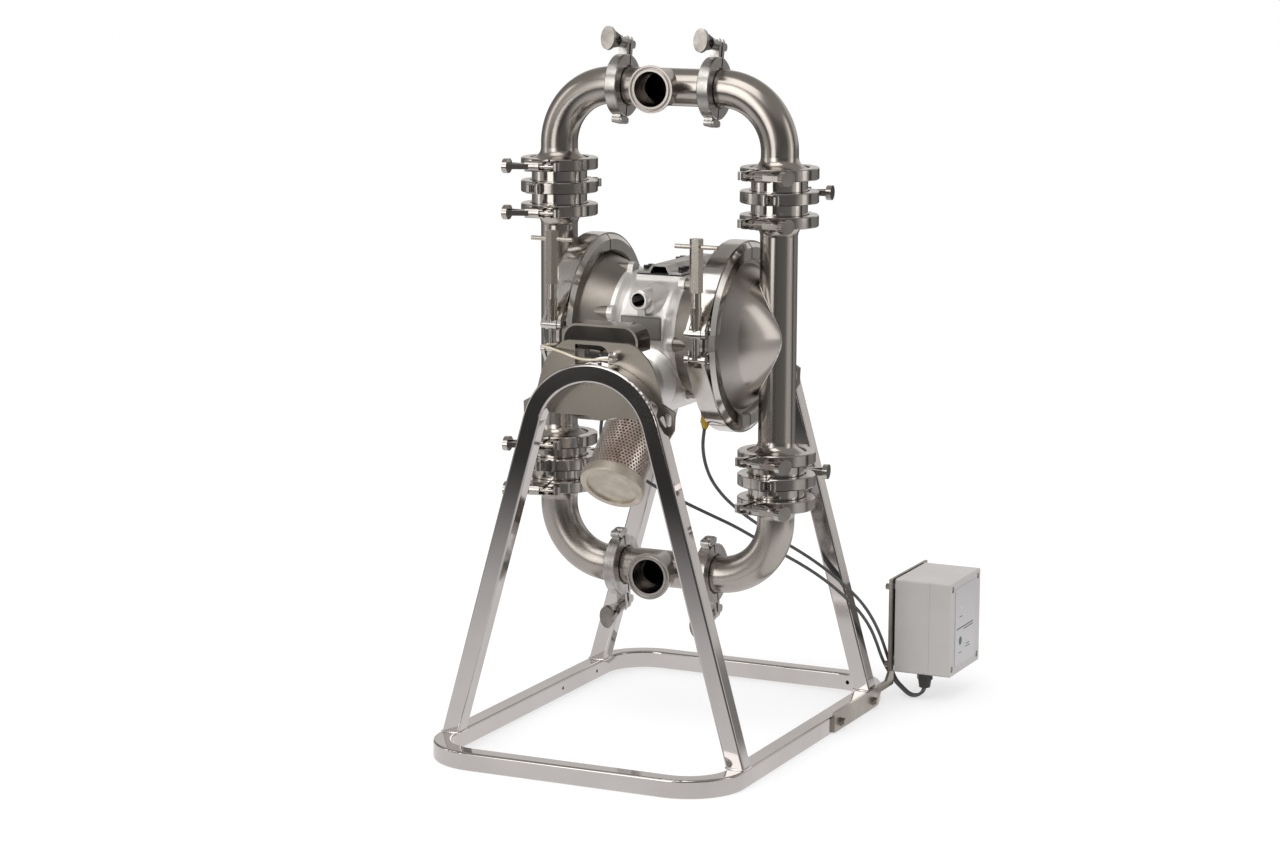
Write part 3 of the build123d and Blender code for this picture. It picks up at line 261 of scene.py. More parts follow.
# %% Floor paint
FLOOR_FAR = [(-180, 0.05), (-150, 0.10), (-118, 0.16), (-96, 0.24), (-86, 0.46), (-48, 0.46), (-40, 0.05),
             (4, 0.04), (18, 0.13), (70, 0.17), (84, 0.54), (112, 0.46), (118, 0.04), (124, 0.04),
             (130, 0.30), (164, 0.24), (180, 0.05)]
FLOOR_MATT = (0.52, 0.515, 0.51, 1)         # takes the shadow
FLOOR_GLOW = (0.56, 0.56, 0.565, 1)         # given off towards the camera
FLOOR_IN_METAL = (0.84, 0.82, 0.81, 1)      # what metal sees near the pump
PALE_MIDDLE, PALE_EDGE = (-0.1, -0.3, 0), (1.1, 2.3)    # the pale round, and where it fades to strips
FRONT_WAY, FRONT_EDGE = (0.5, -1.0, 0), (0.45, 1.70)    # the same towards the front


def floor_paint():
    """Pale near the pump for every ray; further off, metal sees light and dark strips of a room."""
    paint = bpy.data.materials.new("floor")
    paint.use_nodes = True
    tree = paint.node_tree
    shader = tree.nodes["Principled BSDF"].inputs
    shader["Roughness"].default_value = 0.9
    shader["Specular IOR Level"].default_value = 0.0
    path = tree.nodes.new("ShaderNodeLightPath").outputs
    place = tree.nodes.new("ShaderNodeTexCoord").outputs["Object"]
    strips, _ = by_compass(tree, place, FLOOR_FAR)
    far = spread(tree, vector_maths(tree, "DISTANCE", place, PALE_MIDDLE), *PALE_EDGE, smooth=True)
    front = spread(tree, vector_maths(tree, "DOT_PRODUCT", place, FRONT_WAY), *FRONT_EDGE, smooth=True)
    in_metal = mixed(tree, maths(tree, "MAXIMUM", far, front), FLOOR_IN_METAL, strips)
    feed(tree, shader["Emission Color"], mixed(tree, path["Is Glossy Ray"], FLOOR_GLOW, in_metal))
    feed(tree, shader["Base Color"], mixed(tree, path["Is Glossy Ray"], FLOOR_MATT, BLACK))
    feed(tree, shader["Emission Strength"], maths(tree, "ADD", path["Is Camera Ray"], path["Is Glossy Ray"]))
    return paint


print("floor strips", len(FLOOR_FAR))

# %% [markdown]
# The plane reaches far past the picture, so that no edge shows in any view.

# %% Floor
FLOOR_HALF = 60


def make_floor():
    """Pale floor that reaches past the picture."""
    mesh = bpy.data.meshes.new("floor")
    shape = bmesh.new()
    bmesh.ops.create_grid(shape, x_segments=2, y_segments=2, size=FLOOR_HALF)
    shape.to_mesh(mesh)
    shape.free()
    mesh.materials.append(floor_paint())
    floor = bpy.data.objects.new("floor", mesh)
    bpy.context.scene.collection.objects.link(floor)
    return floor


print("floor", make_floor().name)

# %% [markdown]
# ## Effects and the recipe
# Three effects come back in nearly every finish, so each is a node group: fine lines that run one way,
# as a belt or brush leaves them, soft uneven patches from hands and cleaning, and a cast skin of small
# bumps. They put out only a value, which the material turns into colour, roughness or height.

# %% Shared effects
def node_group(name, inputs, output):
    """Empty node group with a place and other inputs, and one value out; also its two end nodes."""
    group = bpy.data.node_groups.new(name, "ShaderNodeTree")
    group.interface.new_socket("Place", in_out="INPUT", socket_type="NodeSocketVector")
    for label, kind, value in inputs:
        group.interface.new_socket(label, in_out="INPUT", socket_type=kind).default_value = value
    group.interface.new_socket(output, in_out="OUTPUT", socket_type="NodeSocketFloat")
    return group, group.nodes.new("NodeGroupInput").outputs, group.nodes.new("NodeGroupOutput").inputs


def noise(group, place, scale, detail, roughness=0.5):
    """One Noise Texture node."""
    node = group.nodes.new("ShaderNodeTexNoise")
    for label, value in (("Vector", place), ("Scale", scale), ("Detail", detail), ("Roughness", roughness)):
        feed(group, node.inputs[label], value)
    return node.outputs["Fac"]


def brushed_lines():
    """Noise stretched along one axis."""
    group, given, out = node_group("Brushed lines", [("Lines per metre", "NodeSocketVector", (900, 900, 12))],
                                   "Line")
    stretched = vector_maths(group, "MULTIPLY", given[0], given[1])
    feed(group, out[0], noise(group, stretched, 1.0, detail=3.0))
    return group


def handled_patches():
    """Soft uneven patches between 0 and 1."""
    group, given, out = node_group("Handled patches", [
        ("Patches per metre", "NodeSocketFloat", 18.0), ("Sharpness", "NodeSocketFloat", 0.2)], "Patch")
    low = maths(group, "MULTIPLY_ADD", given[2], 0.25, 0.3)
    feed(group, out[0], spread(group, noise(group, given[0], given[1], detail=4.0), low, 0.68))
    return group


def cast_skin():
    """Small rounded bumps of a cast or blasted surface."""
    group, given, out = node_group("Cast skin", [("Bumps per metre", "NodeSocketFloat", 900.0)], "Bump")
    feed(group, out[0], noise(group, given[0], given[1], detail=2.0, roughness=0.6))
    return group


LINES, PATCHES, SKIN = brushed_lines(), handled_patches(), cast_skin()
print("groups", [g.name for g in bpy.data.node_groups])

# %% [markdown]
# One recipe mixes them. `clean` and `dull` are the colour where the piece is bright and where it is
# handled, and the two roughness values belong to the same two states. Either lines or a cast skin give the
# height: `lines` says how many per metre there are along X, Y and Z, `skin` how many bumps, and `depth` how
# high they stand, in metres. The numbers differ from finish to finish, not the nodes.

# %% Recipe for a finish
BUMP_STRENGTH = 0.5


def use_group(tree, group, place, value):
    """Puts a group into a material with its own scale."""
    node = tree.nodes.new("ShaderNodeGroup")
    node.node_tree = group
    feed(tree, node.inputs[0], place)
    feed(tree, node.inputs[1], value)
    return node.outputs[0]


def finish(name, clean, dull, roughness, patches, depth, lines=None, skin=None, metallic=1.0):
    """Procedural material of one piece's finish."""
    paint = bpy.data.materials.new(name)
    paint.use_nodes = True
    tree = paint.node_tree
    shader = tree.nodes["Principled BSDF"].inputs
    shader["Metallic"].default_value = metallic
    place = tree.nodes.new("ShaderNodeTexCoord").outputs["Object"]
    patch = use_group(tree, PATCHES, place, patches)
    feed(tree, shader["Base Color"], mixed(tree, patch, (*clean, 1), (*dull, 1)))
    feed(tree, shader["Roughness"], spread(tree, patch, 0.0, 1.0, to=roughness))
    bump = tree.nodes.new("ShaderNodeBump")
    bump.inputs["Strength"].default_value = BUMP_STRENGTH
    bump.inputs["Distance"].default_value = depth
    feed(tree, bump.inputs["Height"], use_group(tree, LINES if lines else SKIN, place, lines or skin))
    feed(tree, shader["Normal"], bump.outputs["Normal"])
    return paint


def dress(paint, *names):
    """Gives CAD pieces their finish."""
    for name in names:
        piece = nodes[name]
        if not piece.data.materials:
            piece.data.materials.append(paint)
        for slot in piece.material_slots:
            slot.material = paint


def both(pattern):
    """Names of a piece's left and right copies."""
    return [pattern.format(side) for side in ("left", "right")]


print("recipe ready")

# %% [markdown]
# ## Steel
# The stand is polished square tube, drawn and bent, so its lines run along the tube. They are fine enough
# to read as a soft streak rather than as scratches. Its low roughness mirrors the strips of the room, so
# most of its look comes from the surroundings and little from the material. The index plate is polished
# like it, while the flat arm of the detector box is satin sheet.

# %% Stand and arm finishes
tube_steel = finish("polished_stand_tube", clean=(0.62, 0.595, 0.59), dull=(0.54, 0.515, 0.51),
                    roughness=(0.05, 0.10), patches=7.0, lines=(500, 500, 20), depth=0.000006)
sheet_steel = finish("satin_saddle_sheet", clean=(0.40, 0.37, 0.33), dull=(0.30, 0.275, 0.245),
                     roughness=(0.24, 0.36), patches=16.0, lines=(60, 60, 1100), depth=0.00002)
dress(tube_steel, "base_frame", "front_leg_frame", "rear_leg_frame", "index_plate")
dress(sheet_steel, "box_arm")
print("stand and arm dressed")

# %% [markdown]
# Tubes and valve bodies are polished mechanically, so they are bright but slightly soft. The shaft, spool
# and lock pin are ground. Polishing and grinding have a direction, so noise stretched that way gives each
# a faint streak, which roughness alone would lack.

# %% Pipe, valve and shaft finishes
pipe_steel = finish("satin_pipe", clean=(0.50, 0.465, 0.435), dull=(0.40, 0.37, 0.345),
                    roughness=(0.19, 0.27), patches=9.0, lines=(300, 300, 40), depth=0.000008)
valve_steel = finish("mirror_valve", clean=(0.62, 0.59, 0.565), dull=(0.54, 0.51, 0.485),
                     roughness=(0.07, 0.14), patches=9.0, lines=(60, 60, 900), depth=0.000006)
ground_steel = finish("ground_shaft", clean=(0.80, 0.79, 0.77), dull=(0.72, 0.70, 0.68),
                      roughness=(0.10, 0.18), patches=40.0, lines=(1500, 60, 60), depth=0.00002)
dress(pipe_steel, "outlet_tee", "inlet_tee", *both("upper_elbow_{}"), *both("lower_elbow_{}"))
dress(valve_steel, *both("upper_valve_{}"), *both("lower_valve_{}"))
dress(ground_steel, "diaphragm_shaft", "air_spool", "lock_pin")
print("pipes, valves and shaft dressed")

# %% [markdown]
# The manifold clamps are investment castings with a frosted skin, and their wing nuts are darker from
# handling. The clamps of the valve stacks and the two large bands are polished over the casting, and the
# long nuts on the bands are brushed. The grain of a casting could be displaced into the mesh, but it is
# finer than a pixel here, so a bump does.

# %% Clamp and band finishes
clamp_steel = finish("cast_clamp", clean=(0.58, 0.56, 0.545), dull=(0.44, 0.425, 0.41),
                     roughness=(0.22, 0.34), patches=60.0, skin=1100.0, depth=0.00005)
wing_steel = finish("wing_nut_steel", clean=(0.34, 0.32, 0.30), dull=(0.22, 0.21, 0.20),
                    roughness=(0.18, 0.30), patches=60.0, skin=700.0, depth=0.00002)
ring_steel = finish("polished_clamp", clean=(0.58, 0.55, 0.525), dull=(0.44, 0.415, 0.39),
                    roughness=(0.10, 0.22), patches=26.0, skin=500.0, depth=0.00002)
band_steel = finish("polished_band", clean=(0.68, 0.665, 0.64), dull=(0.57, 0.545, 0.515),
                    roughness=(0.08, 0.18), patches=22.0, lines=(1200, 60, 60), depth=0.00003)
nut_steel = finish("brushed_nut", clean=(0.60, 0.56, 0.50), dull=(0.53, 0.49, 0.435),
                   roughness=(0.22, 0.32), patches=40.0, lines=(1500, 1500, 50), depth=0.00004)
dress(clamp_steel, *both("upper_clamp_{}"), *both("lower_clamp_{}"))
dress(wing_steel, *both("upper_clamp_nut_{}"), *both("lower_clamp_nut_{}"))
dress(ring_steel, *both("upper_stack_clamps_{}"), *both("lower_stack_clamps_{}"))
dress(band_steel, *both("diaphragm_band_{}"))
dress(nut_steel, *both("band_nut_{}"))
print("clamps and bands dressed")

# %% [markdown]
# ## Two finishes on one piece
# A welded or machined piece often has a second finish on part of it. The CAD mesh isn't cut for that.
# Instead a mask, worked out from Object coordinates, is 1 on that part, and `overpaint` lays the other
# finish there. Masks made this way turn with the piece, because its coordinates do.

# %% Masks and overpaint
EDGE_BLEND = 0.0002


def object_place(tree):
    """The Object coordinates that the recipe already uses."""
    return next(n for n in tree.nodes if n.bl_idname == "ShaderNodeTexCoord").outputs["Object"]


def axes_of(tree):
    """The Object coordinates as three numbers."""
    split = tree.nodes.new("ShaderNodeSeparateXYZ")
    feed(tree, split.inputs[0], object_place(tree))
    return split.outputs


def within(tree, value, low, high):
    """1 where a value lies between two limits."""
    return maths(tree, "MULTIPLY", spread(tree, value, low - EDGE_BLEND, low + EDGE_BLEND),
                 spread(tree, value, high + EDGE_BLEND, high - EDGE_BLEND))


def region(paint, low, high):
    """Mask that is 1 inside a box given by two corners of the drawing."""
    tree = paint.node_tree
    x, y, z = (within(tree, *limits) for limits in zip(axes_of(tree), here(*low), here(*high)))
    return maths(tree, "MULTIPLY", maths(tree, "MULTIPLY", x, y), z)


def overpaint(paint, mask, colour, roughness=None, metallic=None):
    """Lays another colour, and if given another roughness and metallic, where the mask is 1."""
    tree = paint.node_tree
    shader = tree.nodes["Principled BSDF"].inputs
    for label, kind, value in (("Base Color", "RGBA", (*colour, 1)), ("Roughness", "FLOAT", roughness),
                               ("Metallic", "FLOAT", metallic)):
        if value is not None:
            socket = shader[label]
            below = socket.links[0].from_socket if socket.is_linked else socket.default_value
            feed(tree, socket, mixed(tree, mask, below, value, kind))


print("masks ready")

# %% [markdown]
# A fluid cover is one welded piece with two finishes: the dish is satin, turned on a lathe, and its riser
# is polished like the other tubes. Two materials would need a cut mesh, so the mask is the distance from
# the pump's middle plane. The air covers behind are pressed sheet, a little darker.

# %% Fluid and air covers
RISER_START = 0.1395        # metres from the pump's middle, where the dish ends and the tube starts
RISER_BLEND = 0.0015


def side_mask(paint):
    """1 where a point is further out than the riser's start."""
    tree = paint.node_tree
    away = maths(tree, "ABSOLUTE", maths(tree, "SUBTRACT", axes_of(tree)["X"], here(0, 0, 0).x))
    return spread(tree, away, RISER_START - RISER_BLEND, RISER_START + RISER_BLEND)


fluid_cover_steel = finish("cover_and_riser", clean=(0.50, 0.47, 0.455), dull=(0.42, 0.395, 0.38),
                           roughness=(0.36, 0.44), patches=12.0, lines=(40, 700, 700), depth=0.00002)
overpaint(fluid_cover_steel, side_mask(fluid_cover_steel), (0.53, 0.495, 0.465), 0.19)
air_cover_steel = finish("satin_air_cover", clean=(0.41, 0.38, 0.35), dull=(0.31, 0.285, 0.26),
                         roughness=(0.30, 0.40), patches=14.0, skin=700.0, depth=0.00003)
dress(fluid_cover_steel, *both("fluid_cover_{}"))
dress(air_cover_steel, *both("air_cover_{}"))
print("covers dressed")

# %% [markdown]
# The middle of the pump is a casting that was blasted with glass beads: pale, soft, with a fine grain. A
# blasted skin scatters light much as paint does, which Metallic a little under 1 imitates. On its front
# sits a small bare plate with a dark rim, and over it the bore of the air inlet, painted dark as shade.

# %% Casting
PLATE_RIM = (-30, -84.5, 555.5), (30, -83.9, 587.5)
PLATE_FACE = (-27, -84.5, 558.5), (27, -83.9, 584.5)
# The inside of the air inlet's bore is painted near-black: painted shade in the hole.
SHADED_INLET_BORE = (-8.6, -92, 601), (8.6, -30, 619)
casting_metal = finish("blasted_casting", clean=(0.93, 0.91, 0.90), dull=(0.84, 0.82, 0.80),
                       roughness=(0.32, 0.42), patches=24.0, skin=1600.0, depth=0.00008, metallic=0.8)
for box, colour, roughness in ((PLATE_RIM, (0.10, 0.095, 0.085), 0.40),
                               (PLATE_FACE, (0.46, 0.44, 0.395), 0.42),
                               (SHADED_INLET_BORE, (0.10, 0.095, 0.09), 0.45)):
    overpaint(casting_metal, region(casting_metal, *box), colour, roughness, metallic=1.0)
dress(casting_metal, "center_section")
print("casting dressed")

# %% [markdown]
# The valve cover on top is darker metal, machined flat. It is one CAD piece with its rubber gasket below
# and its blackened socket-head screws in two rows, so both are overpainted by height and by side.

# %% Valve cover
GASKET = (-60, -60, 630), (60, 160, 638.1)
SCREW_ROWS = (-40, -20.5), (20.5, 40)
SCREW_FOOT = 642.2
cover_metal = finish("valve_cover_metal", clean=(0.40, 0.385, 0.37), dull=(0.31, 0.295, 0.28),
                     roughness=(0.20, 0.32), patches=40.0, lines=(60, 60, 900), depth=0.00003)
overpaint(cover_metal, region(cover_metal, *GASKET), (0.02, 0.02, 0.02), roughness=0.55, metallic=0.0)
for left, right in SCREW_ROWS:
    screws = region(cover_metal, (left, -60, SCREW_FOOT), (right, 160, 660))
    overpaint(cover_metal, screws, (0.03, 0.03, 0.03), roughness=0.4, metallic=0.6)
dress(cover_metal, "valve_cover")
print("valve cover dressed")

# %% [markdown]
# The saddles that carry the pump are satin sheet. The roof collar on each is polished and shows a dark
# part of the room, all but its thin front edge. The walls can't be dark there without darkening the tubes
# too, so the collar is overpainted instead.

# %% Saddles
COLLARS = ((-56, -210.1, 561), (56, -160, 594)), ((-56, 160, 561), (56, 210.1, 594))    # front and rear
saddle_metal = finish("satin_saddle", clean=(0.44, 0.405, 0.36), dull=(0.25, 0.23, 0.20),
                      roughness=(0.26, 0.36), patches=7.0, lines=(60, 60, 1100), depth=0.00002)
for box in COLLARS:
    overpaint(saddle_metal, region(saddle_metal, *box), (0.15, 0.138, 0.125), roughness=0.16)
dress(saddle_metal, "front_saddle", "rear_saddle")
print("saddles dressed")

# %% [markdown]
# ## Muffler
# The exhaust leaves through a porous reddish core, held by a sleeve of perforated sheet. Punching a
# thousand holes into a mesh is wasteful, so the holes are a pattern in the sleeve's alpha: the angle round
# the muffler's axis and the distance along it give two coordinates, and staggered dots are cut out.

# %% Muffler core, sleeve and cap
MUFFLER_LEAN = radians(44)
SLEEVE_RADIUS = 0.040
HOLE_PITCH = 0.0050
HOLE_RADIUS = 0.34          # as a part of the pitch
ROW_STEP = sqrt(3) / 2      # of staggered rows, as a part of the pitch


def along_muffler(tree):
    """Object coordinates turned into the muffler's own frame, with Z along its axis."""
    centred = vector_maths(tree, "SUBTRACT", tree.nodes.new("ShaderNodeTexCoord").outputs["Object"],
                           here(0, -40, TILT_HEIGHT))
    across, along = sin(MUFFLER_LEAN), cos(MUFFLER_LEAN)
    return [vector_maths(tree, "DOT_PRODUCT", centred, axis)
            for axis in ((1, 0, 0), (0, -across, along), (0, -along, -across))]


def holes(tree):
    """0 in the staggered round holes of the sleeve, 1 between them."""
    x, y, z = along_muffler(tree)
    around = maths(tree, "MULTIPLY", maths(tree, "ARCTAN2", y, x), SLEEVE_RADIUS / HOLE_PITCH)
    rows = maths(tree, "DIVIDE", z, HOLE_PITCH * ROW_STEP)
    shift = maths(tree, "MULTIPLY", maths(tree, "MODULO", maths(tree, "FLOOR", rows), 2.0), 0.5)
    side = maths(tree, "SUBTRACT", maths(tree, "FRACT", maths(tree, "ADD", around, shift)), 0.5)
    up = maths(tree, "MULTIPLY", maths(tree, "SUBTRACT", maths(tree, "FRACT", rows), 0.5), ROW_STEP)
    squares = maths(tree, "ADD", maths(tree, "POWER", side, 2.0), maths(tree, "POWER", up, 2.0))
    return maths(tree, "GREATER_THAN", maths(tree, "SQRT", squares), HOLE_RADIUS)


sleeve_steel = finish("perforated_sleeve", clean=(0.92, 0.86, 0.81), dull=(0.76, 0.70, 0.64),
                      roughness=(0.24, 0.36), patches=40.0, skin=900.0, depth=0.00003)
feed(sleeve_steel.node_tree, sleeve_steel.node_tree.nodes["Principled BSDF"].inputs["Alpha"],
     holes(sleeve_steel.node_tree))
core_stuff = finish("porous_core", clean=(0.56, 0.24, 0.14), dull=(0.34, 0.14, 0.08),
                    roughness=(0.75, 0.95), patches=55.0, skin=500.0, depth=0.0006, metallic=0.0)
cap_metal = finish("muffler_cap_metal", clean=(0.66, 0.60, 0.52), dull=(0.54, 0.49, 0.42),
                   roughness=(0.36, 0.52), patches=60.0, skin=900.0, depth=0.00016, metallic=0.8)
dress(core_stuff, "muffler_core")
dress(sleeve_steel, "muffler_mesh")
dress(cap_metal, "muffler_cap")
print("muffler dressed")

# %% [markdown]
# ## Rubber and plastic
# Gaskets and balls are white fluoropolymer, the diaphragms black rubber, the leak sensors yellow plastic.
# The detector box is moulded with a fine texture, and its bump breaks up the highlight, which is what tells
# moulded plastic from paint. None of them is metal, so Metallic is 0 throughout.

# %% Soft and moulded finishes
BOX_LOOK = dict(clean=(0.66, 0.635, 0.62), dull=(0.62, 0.595, 0.58), roughness=(0.42, 0.55), patches=12.0,
                skin=1500.0, depth=0.00008, metallic=0.0)
rubber = finish("black_rubber", clean=(0.045, 0.045, 0.045), dull=(0.07, 0.068, 0.065),
                roughness=(0.55, 0.75), patches=25.0, skin=600.0, depth=0.0001, metallic=0.0)
gasket_white = finish("gasket_white", clean=(0.80, 0.79, 0.76), dull=(0.70, 0.68, 0.64),
                      roughness=(0.35, 0.5), patches=30.0, skin=500.0, depth=0.00003, metallic=0.0)
gland_plastic = finish("black_gland", clean=(0.018, 0.018, 0.018), dull=(0.032, 0.031, 0.03),
                       roughness=(0.35, 0.5), patches=50.0, skin=1200.0, depth=0.00004, metallic=0.0)
sensor_plastic = finish("yellow_sensor", clean=(0.78, 0.50, 0.03), dull=(0.62, 0.38, 0.02),
                        roughness=(0.35, 0.5), patches=90.0, skin=1200.0, depth=0.00004, metallic=0.0)
dress(rubber, *both("diaphragm_{}"))
dress(gasket_white, "clamp_gaskets", *both("upper_ball_{}"), *both("lower_ball_{}"))
dress(gland_plastic, "cable_gland")
dress(sensor_plastic, *both("leak_sensor_{}"))
dress(finish("moulded_box", **BOX_LOOK), "leak_box_base")
print("rubber and plastics dressed")

# %% [markdown]
# The box's lid is the same plastic with four metal screws and a silver label. The label carries no words:
# six thin bars stand for print, beside a green button and a small lamp. Bars and screws are boxes in the
# mask, button and lamp are balls.

# %% Lid of the detector box
LABEL = (315.15, 300, 40), (317, 404, 170)
LID_SCREWS = [(y, z) for y in (298, 405) for z in (48, 165)]
SCREW_HALF = 4.3
BARS = [(314, 384, 102.2, 103.8), (345, 384, 98.4, 99.8), (352, 372, 70, 71.2), (355, 369, 74, 75.2),
        (326, 338, 119, 120.2), (325, 337, 66, 67.2)]      # from y to y and from z to z
BUTTON = (315.9, 331, 84), 0.0062, (0.03, 0.12, 0.085)
LAMP = (315.9, 333, 132), 0.0018, (0.8, 0.8, 0.8)


def ball_mask(paint, middle, radius):
    """1 within a radius of a point of the drawing."""
    tree = paint.node_tree
    return within(tree, vector_maths(tree, "DISTANCE", object_place(tree), here(*middle)), -1.0, radius)


lid = finish("moulded_lid", **BOX_LOOK)
overpaint(lid, region(lid, *LABEL), (0.62, 0.62, 0.64), roughness=0.3, metallic=0.7)
for y, z in LID_SCREWS:
    head = region(lid, (309.2, y - SCREW_HALF, z - SCREW_HALF), (314.9, y + SCREW_HALF, z + SCREW_HALF))
    overpaint(lid, head, (0.45, 0.44, 0.42), roughness=0.35, metallic=0.9)
for y_low, y_high, z_low, z_high in BARS:
    bar = region(lid, (315.4, y_low, z_low), (317, y_high, z_high))
    overpaint(lid, bar, (0.03, 0.03, 0.035), roughness=0.5, metallic=0.0)
for middle, radius, colour in (BUTTON, LAMP):
    overpaint(lid, ball_mask(lid, middle, radius), colour, roughness=0.4, metallic=0.0)
dress(lid, "leak_box_lid")
print("lid dressed")

# %% [markdown]
# ## Leads and lanyard
# Each lead is a NURBS spline through the drawing's route, with its round section as the curve's bevel. It
# leaves its sensor, hangs under the pump, passes round the rear leg and goes up into the gland. The pump
# tilts and the stand doesn't; each cord is turned into a mesh tube, which rides on neither. The routes are
# the drawing's own, in millimetres, with close points only where a lead turns.

# %% Routes of the leads
right_route = [
    (77, -44.80, 433.90), (77, -49.59, 420.74), (76, -47, 405), (74, -37, 389), (71, -21, 373),
    (68.5, -2, 357), (67.5, 20, 340.5), (69, 44, 323), (73, 70, 305.5), (80, 100, 286), (92, 135, 264),
    (107, 165, 241.5), (126, 186, 224), (147, 199, 207), (168, 206.5, 190), (189.5, 213, 171),
    (204, 233, 146), (212, 252, 120), (216.5, 270, 94), (218.5, 286, 69), (221, 299, 45),
]
left_route = [
    (-77, -44.80, 433.90), (-77, -49.59, 420.74), (-75.5, -47, 405), (-70, -38, 389), (-59, -25, 374),
    (-45, -10, 358), (-28, 6, 342), (-11, 23, 327), (6, 41, 313), (24, 58, 300), (43, 75, 287), (61, 93, 274),
    (78, 114, 258), (94, 137, 241), (110, 158, 225), (128, 176, 210), (148, 190, 194), (169, 199, 177),
    (190, 208, 157), (203, 227, 134), (210.5, 246, 109), (213, 264, 84), (213.5, 281, 61), (218, 293.5, 40.5),
]
gland_route = [(228.8, 22.5), (240.5, 12.5), (250.3, 4.6), (259.9, 3.3), (268.8, 7.2), (274, 15.3),
               (274, 24.5)]         # x and z of both leads, side by side on the way into the gland
right_route += [(x, 303, z) for x, z in gland_route]
left_route += [(x, 297, z) for x, z in gland_route]
print("route points", len(right_route), len(left_route))

# %% [markdown]
# The tube's ends are capped, and its doubles are merged so that it is one closed skin.

# %% A cord as a tube
LEAD_RADIUS = 0.0023


def mesh_of(data):
    """The mesh that a curve draws."""
    drawn = bpy.data.objects.new(data.name, data)
    mesh = bpy.data.meshes.new_from_object(drawn)
    bpy.data.objects.remove(drawn)
    return mesh


def spline_cord(name, route, radius, paint):
    """Round tube on a smooth spline with the route's points as control points, and the line it follows."""
    data = bpy.data.curves.new(name + "_line", "CURVE")
    data.dimensions = "3D"
    data.resolution_u = 10
    data.use_fill_caps = True
    spline = data.splines.new("NURBS")
    spline.points.add(len(route) - 1)
    for point, place in zip(spline.points, route):
        point.co = (*here(*place), 1)
    spline.order_u = 3
    spline.use_endpoint_u = True
    bare = mesh_of(data)
    path = [tuple(v.co) for v in bare.vertices]
    bpy.data.meshes.remove(bare)
    data.bevel_depth = radius
    data.bevel_resolution = 5
    mesh = mesh_of(data)
    mesh.name = name
    shape = bmesh.new()
    shape.from_mesh(mesh)
    bmesh.ops.remove_doubles(shape, verts=shape.verts, dist=1e-6)
    bmesh.ops.recalc_face_normals(shape, faces=shape.faces)
    shape.to_mesh(mesh)
    shape.free()
    mesh.materials.clear()
    mesh.materials.append(paint)
    mesh.polygons.foreach_set("use_smooth", [True] * len(mesh.polygons))
    piece = bpy.data.objects.new(name, mesh)
    bpy.context.scene.collection.objects.link(piece)
    return piece, path


print("lead", round(2000 * LEAD_RADIUS, 1), "mm thick")

# %% [markdown]
# Each lead takes the place of the CAD's own lead, which is hidden.

# %% Leads
lead_rubber = finish("grey_lead", clean=(0.085, 0.085, 0.088), dull=(0.13, 0.128, 0.125),
                     roughness=(0.45, 0.6), patches=60.0, skin=900.0, depth=0.00004, metallic=0.0)
for side, route in (("right", right_route), ("left", left_route)):
    lead, line = spline_cord(f"{side}_lead", route, LEAD_RADIUS, lead_rubber)
    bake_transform(lead)
    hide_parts(f"{side}_sensor_lead")

# %% [markdown]
# The lanyard is a coated wire that keeps the lock pin from getting lost. Each end is crimped into an eye,
# one round the band bolt, which tilts, and one round the pin's ring, which slides out with the pin. The
# eyes are rings made by spinning a small circle.

# %% Wire rings and riding pieces
def wire_ring(shape, radius, wire, steps=40):
    """Adds a flat ring of round wire about the origin, in millimetres, and gives back its points."""
    before = set(shape.verts)
    verts = bmesh.ops.create_circle(shape, segments=12, radius=wire / 1000)["verts"]
    bmesh.ops.rotate(shape, verts=verts, cent=(0, 0, 0), matrix=Matrix.Rotation(pi / 2, 3, "X"))
    bmesh.ops.translate(shape, verts=verts, vec=(radius / 1000, 0, 0))
    edges = list(dict.fromkeys(e for v in verts for e in v.link_edges))
    bmesh.ops.spin(shape, geom=verts + edges, cent=(0, 0, 0), axis=(0, 0, 1), angle=2 * pi, steps=steps,
                   use_merge=True)
    bmesh.ops.recalc_face_normals(shape, faces=shape.faces)
    return [v for v in shape.verts if v not in before]


def new_piece(name, shape, body, paint, smooth=True):
    """Object from a bmesh, riding on a body and dressed."""
    mesh = bpy.data.meshes.new(name)
    shape.to_mesh(mesh)
    shape.free()
    mesh.polygons.foreach_set("use_smooth", [smooth] * len(mesh.polygons))
    mesh.materials.append(paint)
    piece = bpy.data.objects.new(name, mesh)
    bpy.context.scene.collection.objects.link(piece)
    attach(piece, body)
    return piece


print("ring helper ready")

# %% [markdown]
# The wire itself is a cord like the leads, only thinner and limp. The photograph shows it from end to end,
# in one flat bow over the saddle.

# %% Lanyard
EYE_RADIUS, EYE_WIRE = 6.6, 1.0
EYES = (("lanyard_bolt_eye", "pump", (-105.5, -139, 550.5)),
        ("lanyard_pin_eye", "lock_pin", (26, -242.9, 552)))
lanyard_route = [
    (-105.5, -146.6, 550.5), (-105.5, -158, 550.5), (-104, -173, 552), (-98, -188, 554.5), (-88, -202, 556.5),
    (-74, -214.5, 557.5), (-57, -224, 556.5), (-40, -231.5, 554), (-24, -237.5, 551), (-10, -241.5, 549.5),
    (5, -243.3, 550), (18.4, -242.9, 552),
]
lanyard_coat = finish("lanyard_coat", clean=(0.74, 0.68, 0.53), dull=(0.62, 0.56, 0.42),
                      roughness=(0.35, 0.5), patches=70.0, skin=1500.0, depth=0.0001, metallic=0.0)
for name, body, middle in EYES:
    eye = bmesh.new()
    bmesh.ops.translate(eye, verts=wire_ring(eye, EYE_RADIUS, EYE_WIRE), vec=here(*middle))
    new_piece(name, eye, body, lanyard_coat)
lanyard, line = spline_cord("lanyard_wire", lanyard_route, 0.0016, lanyard_coat)
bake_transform(lanyard)
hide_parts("lanyard")

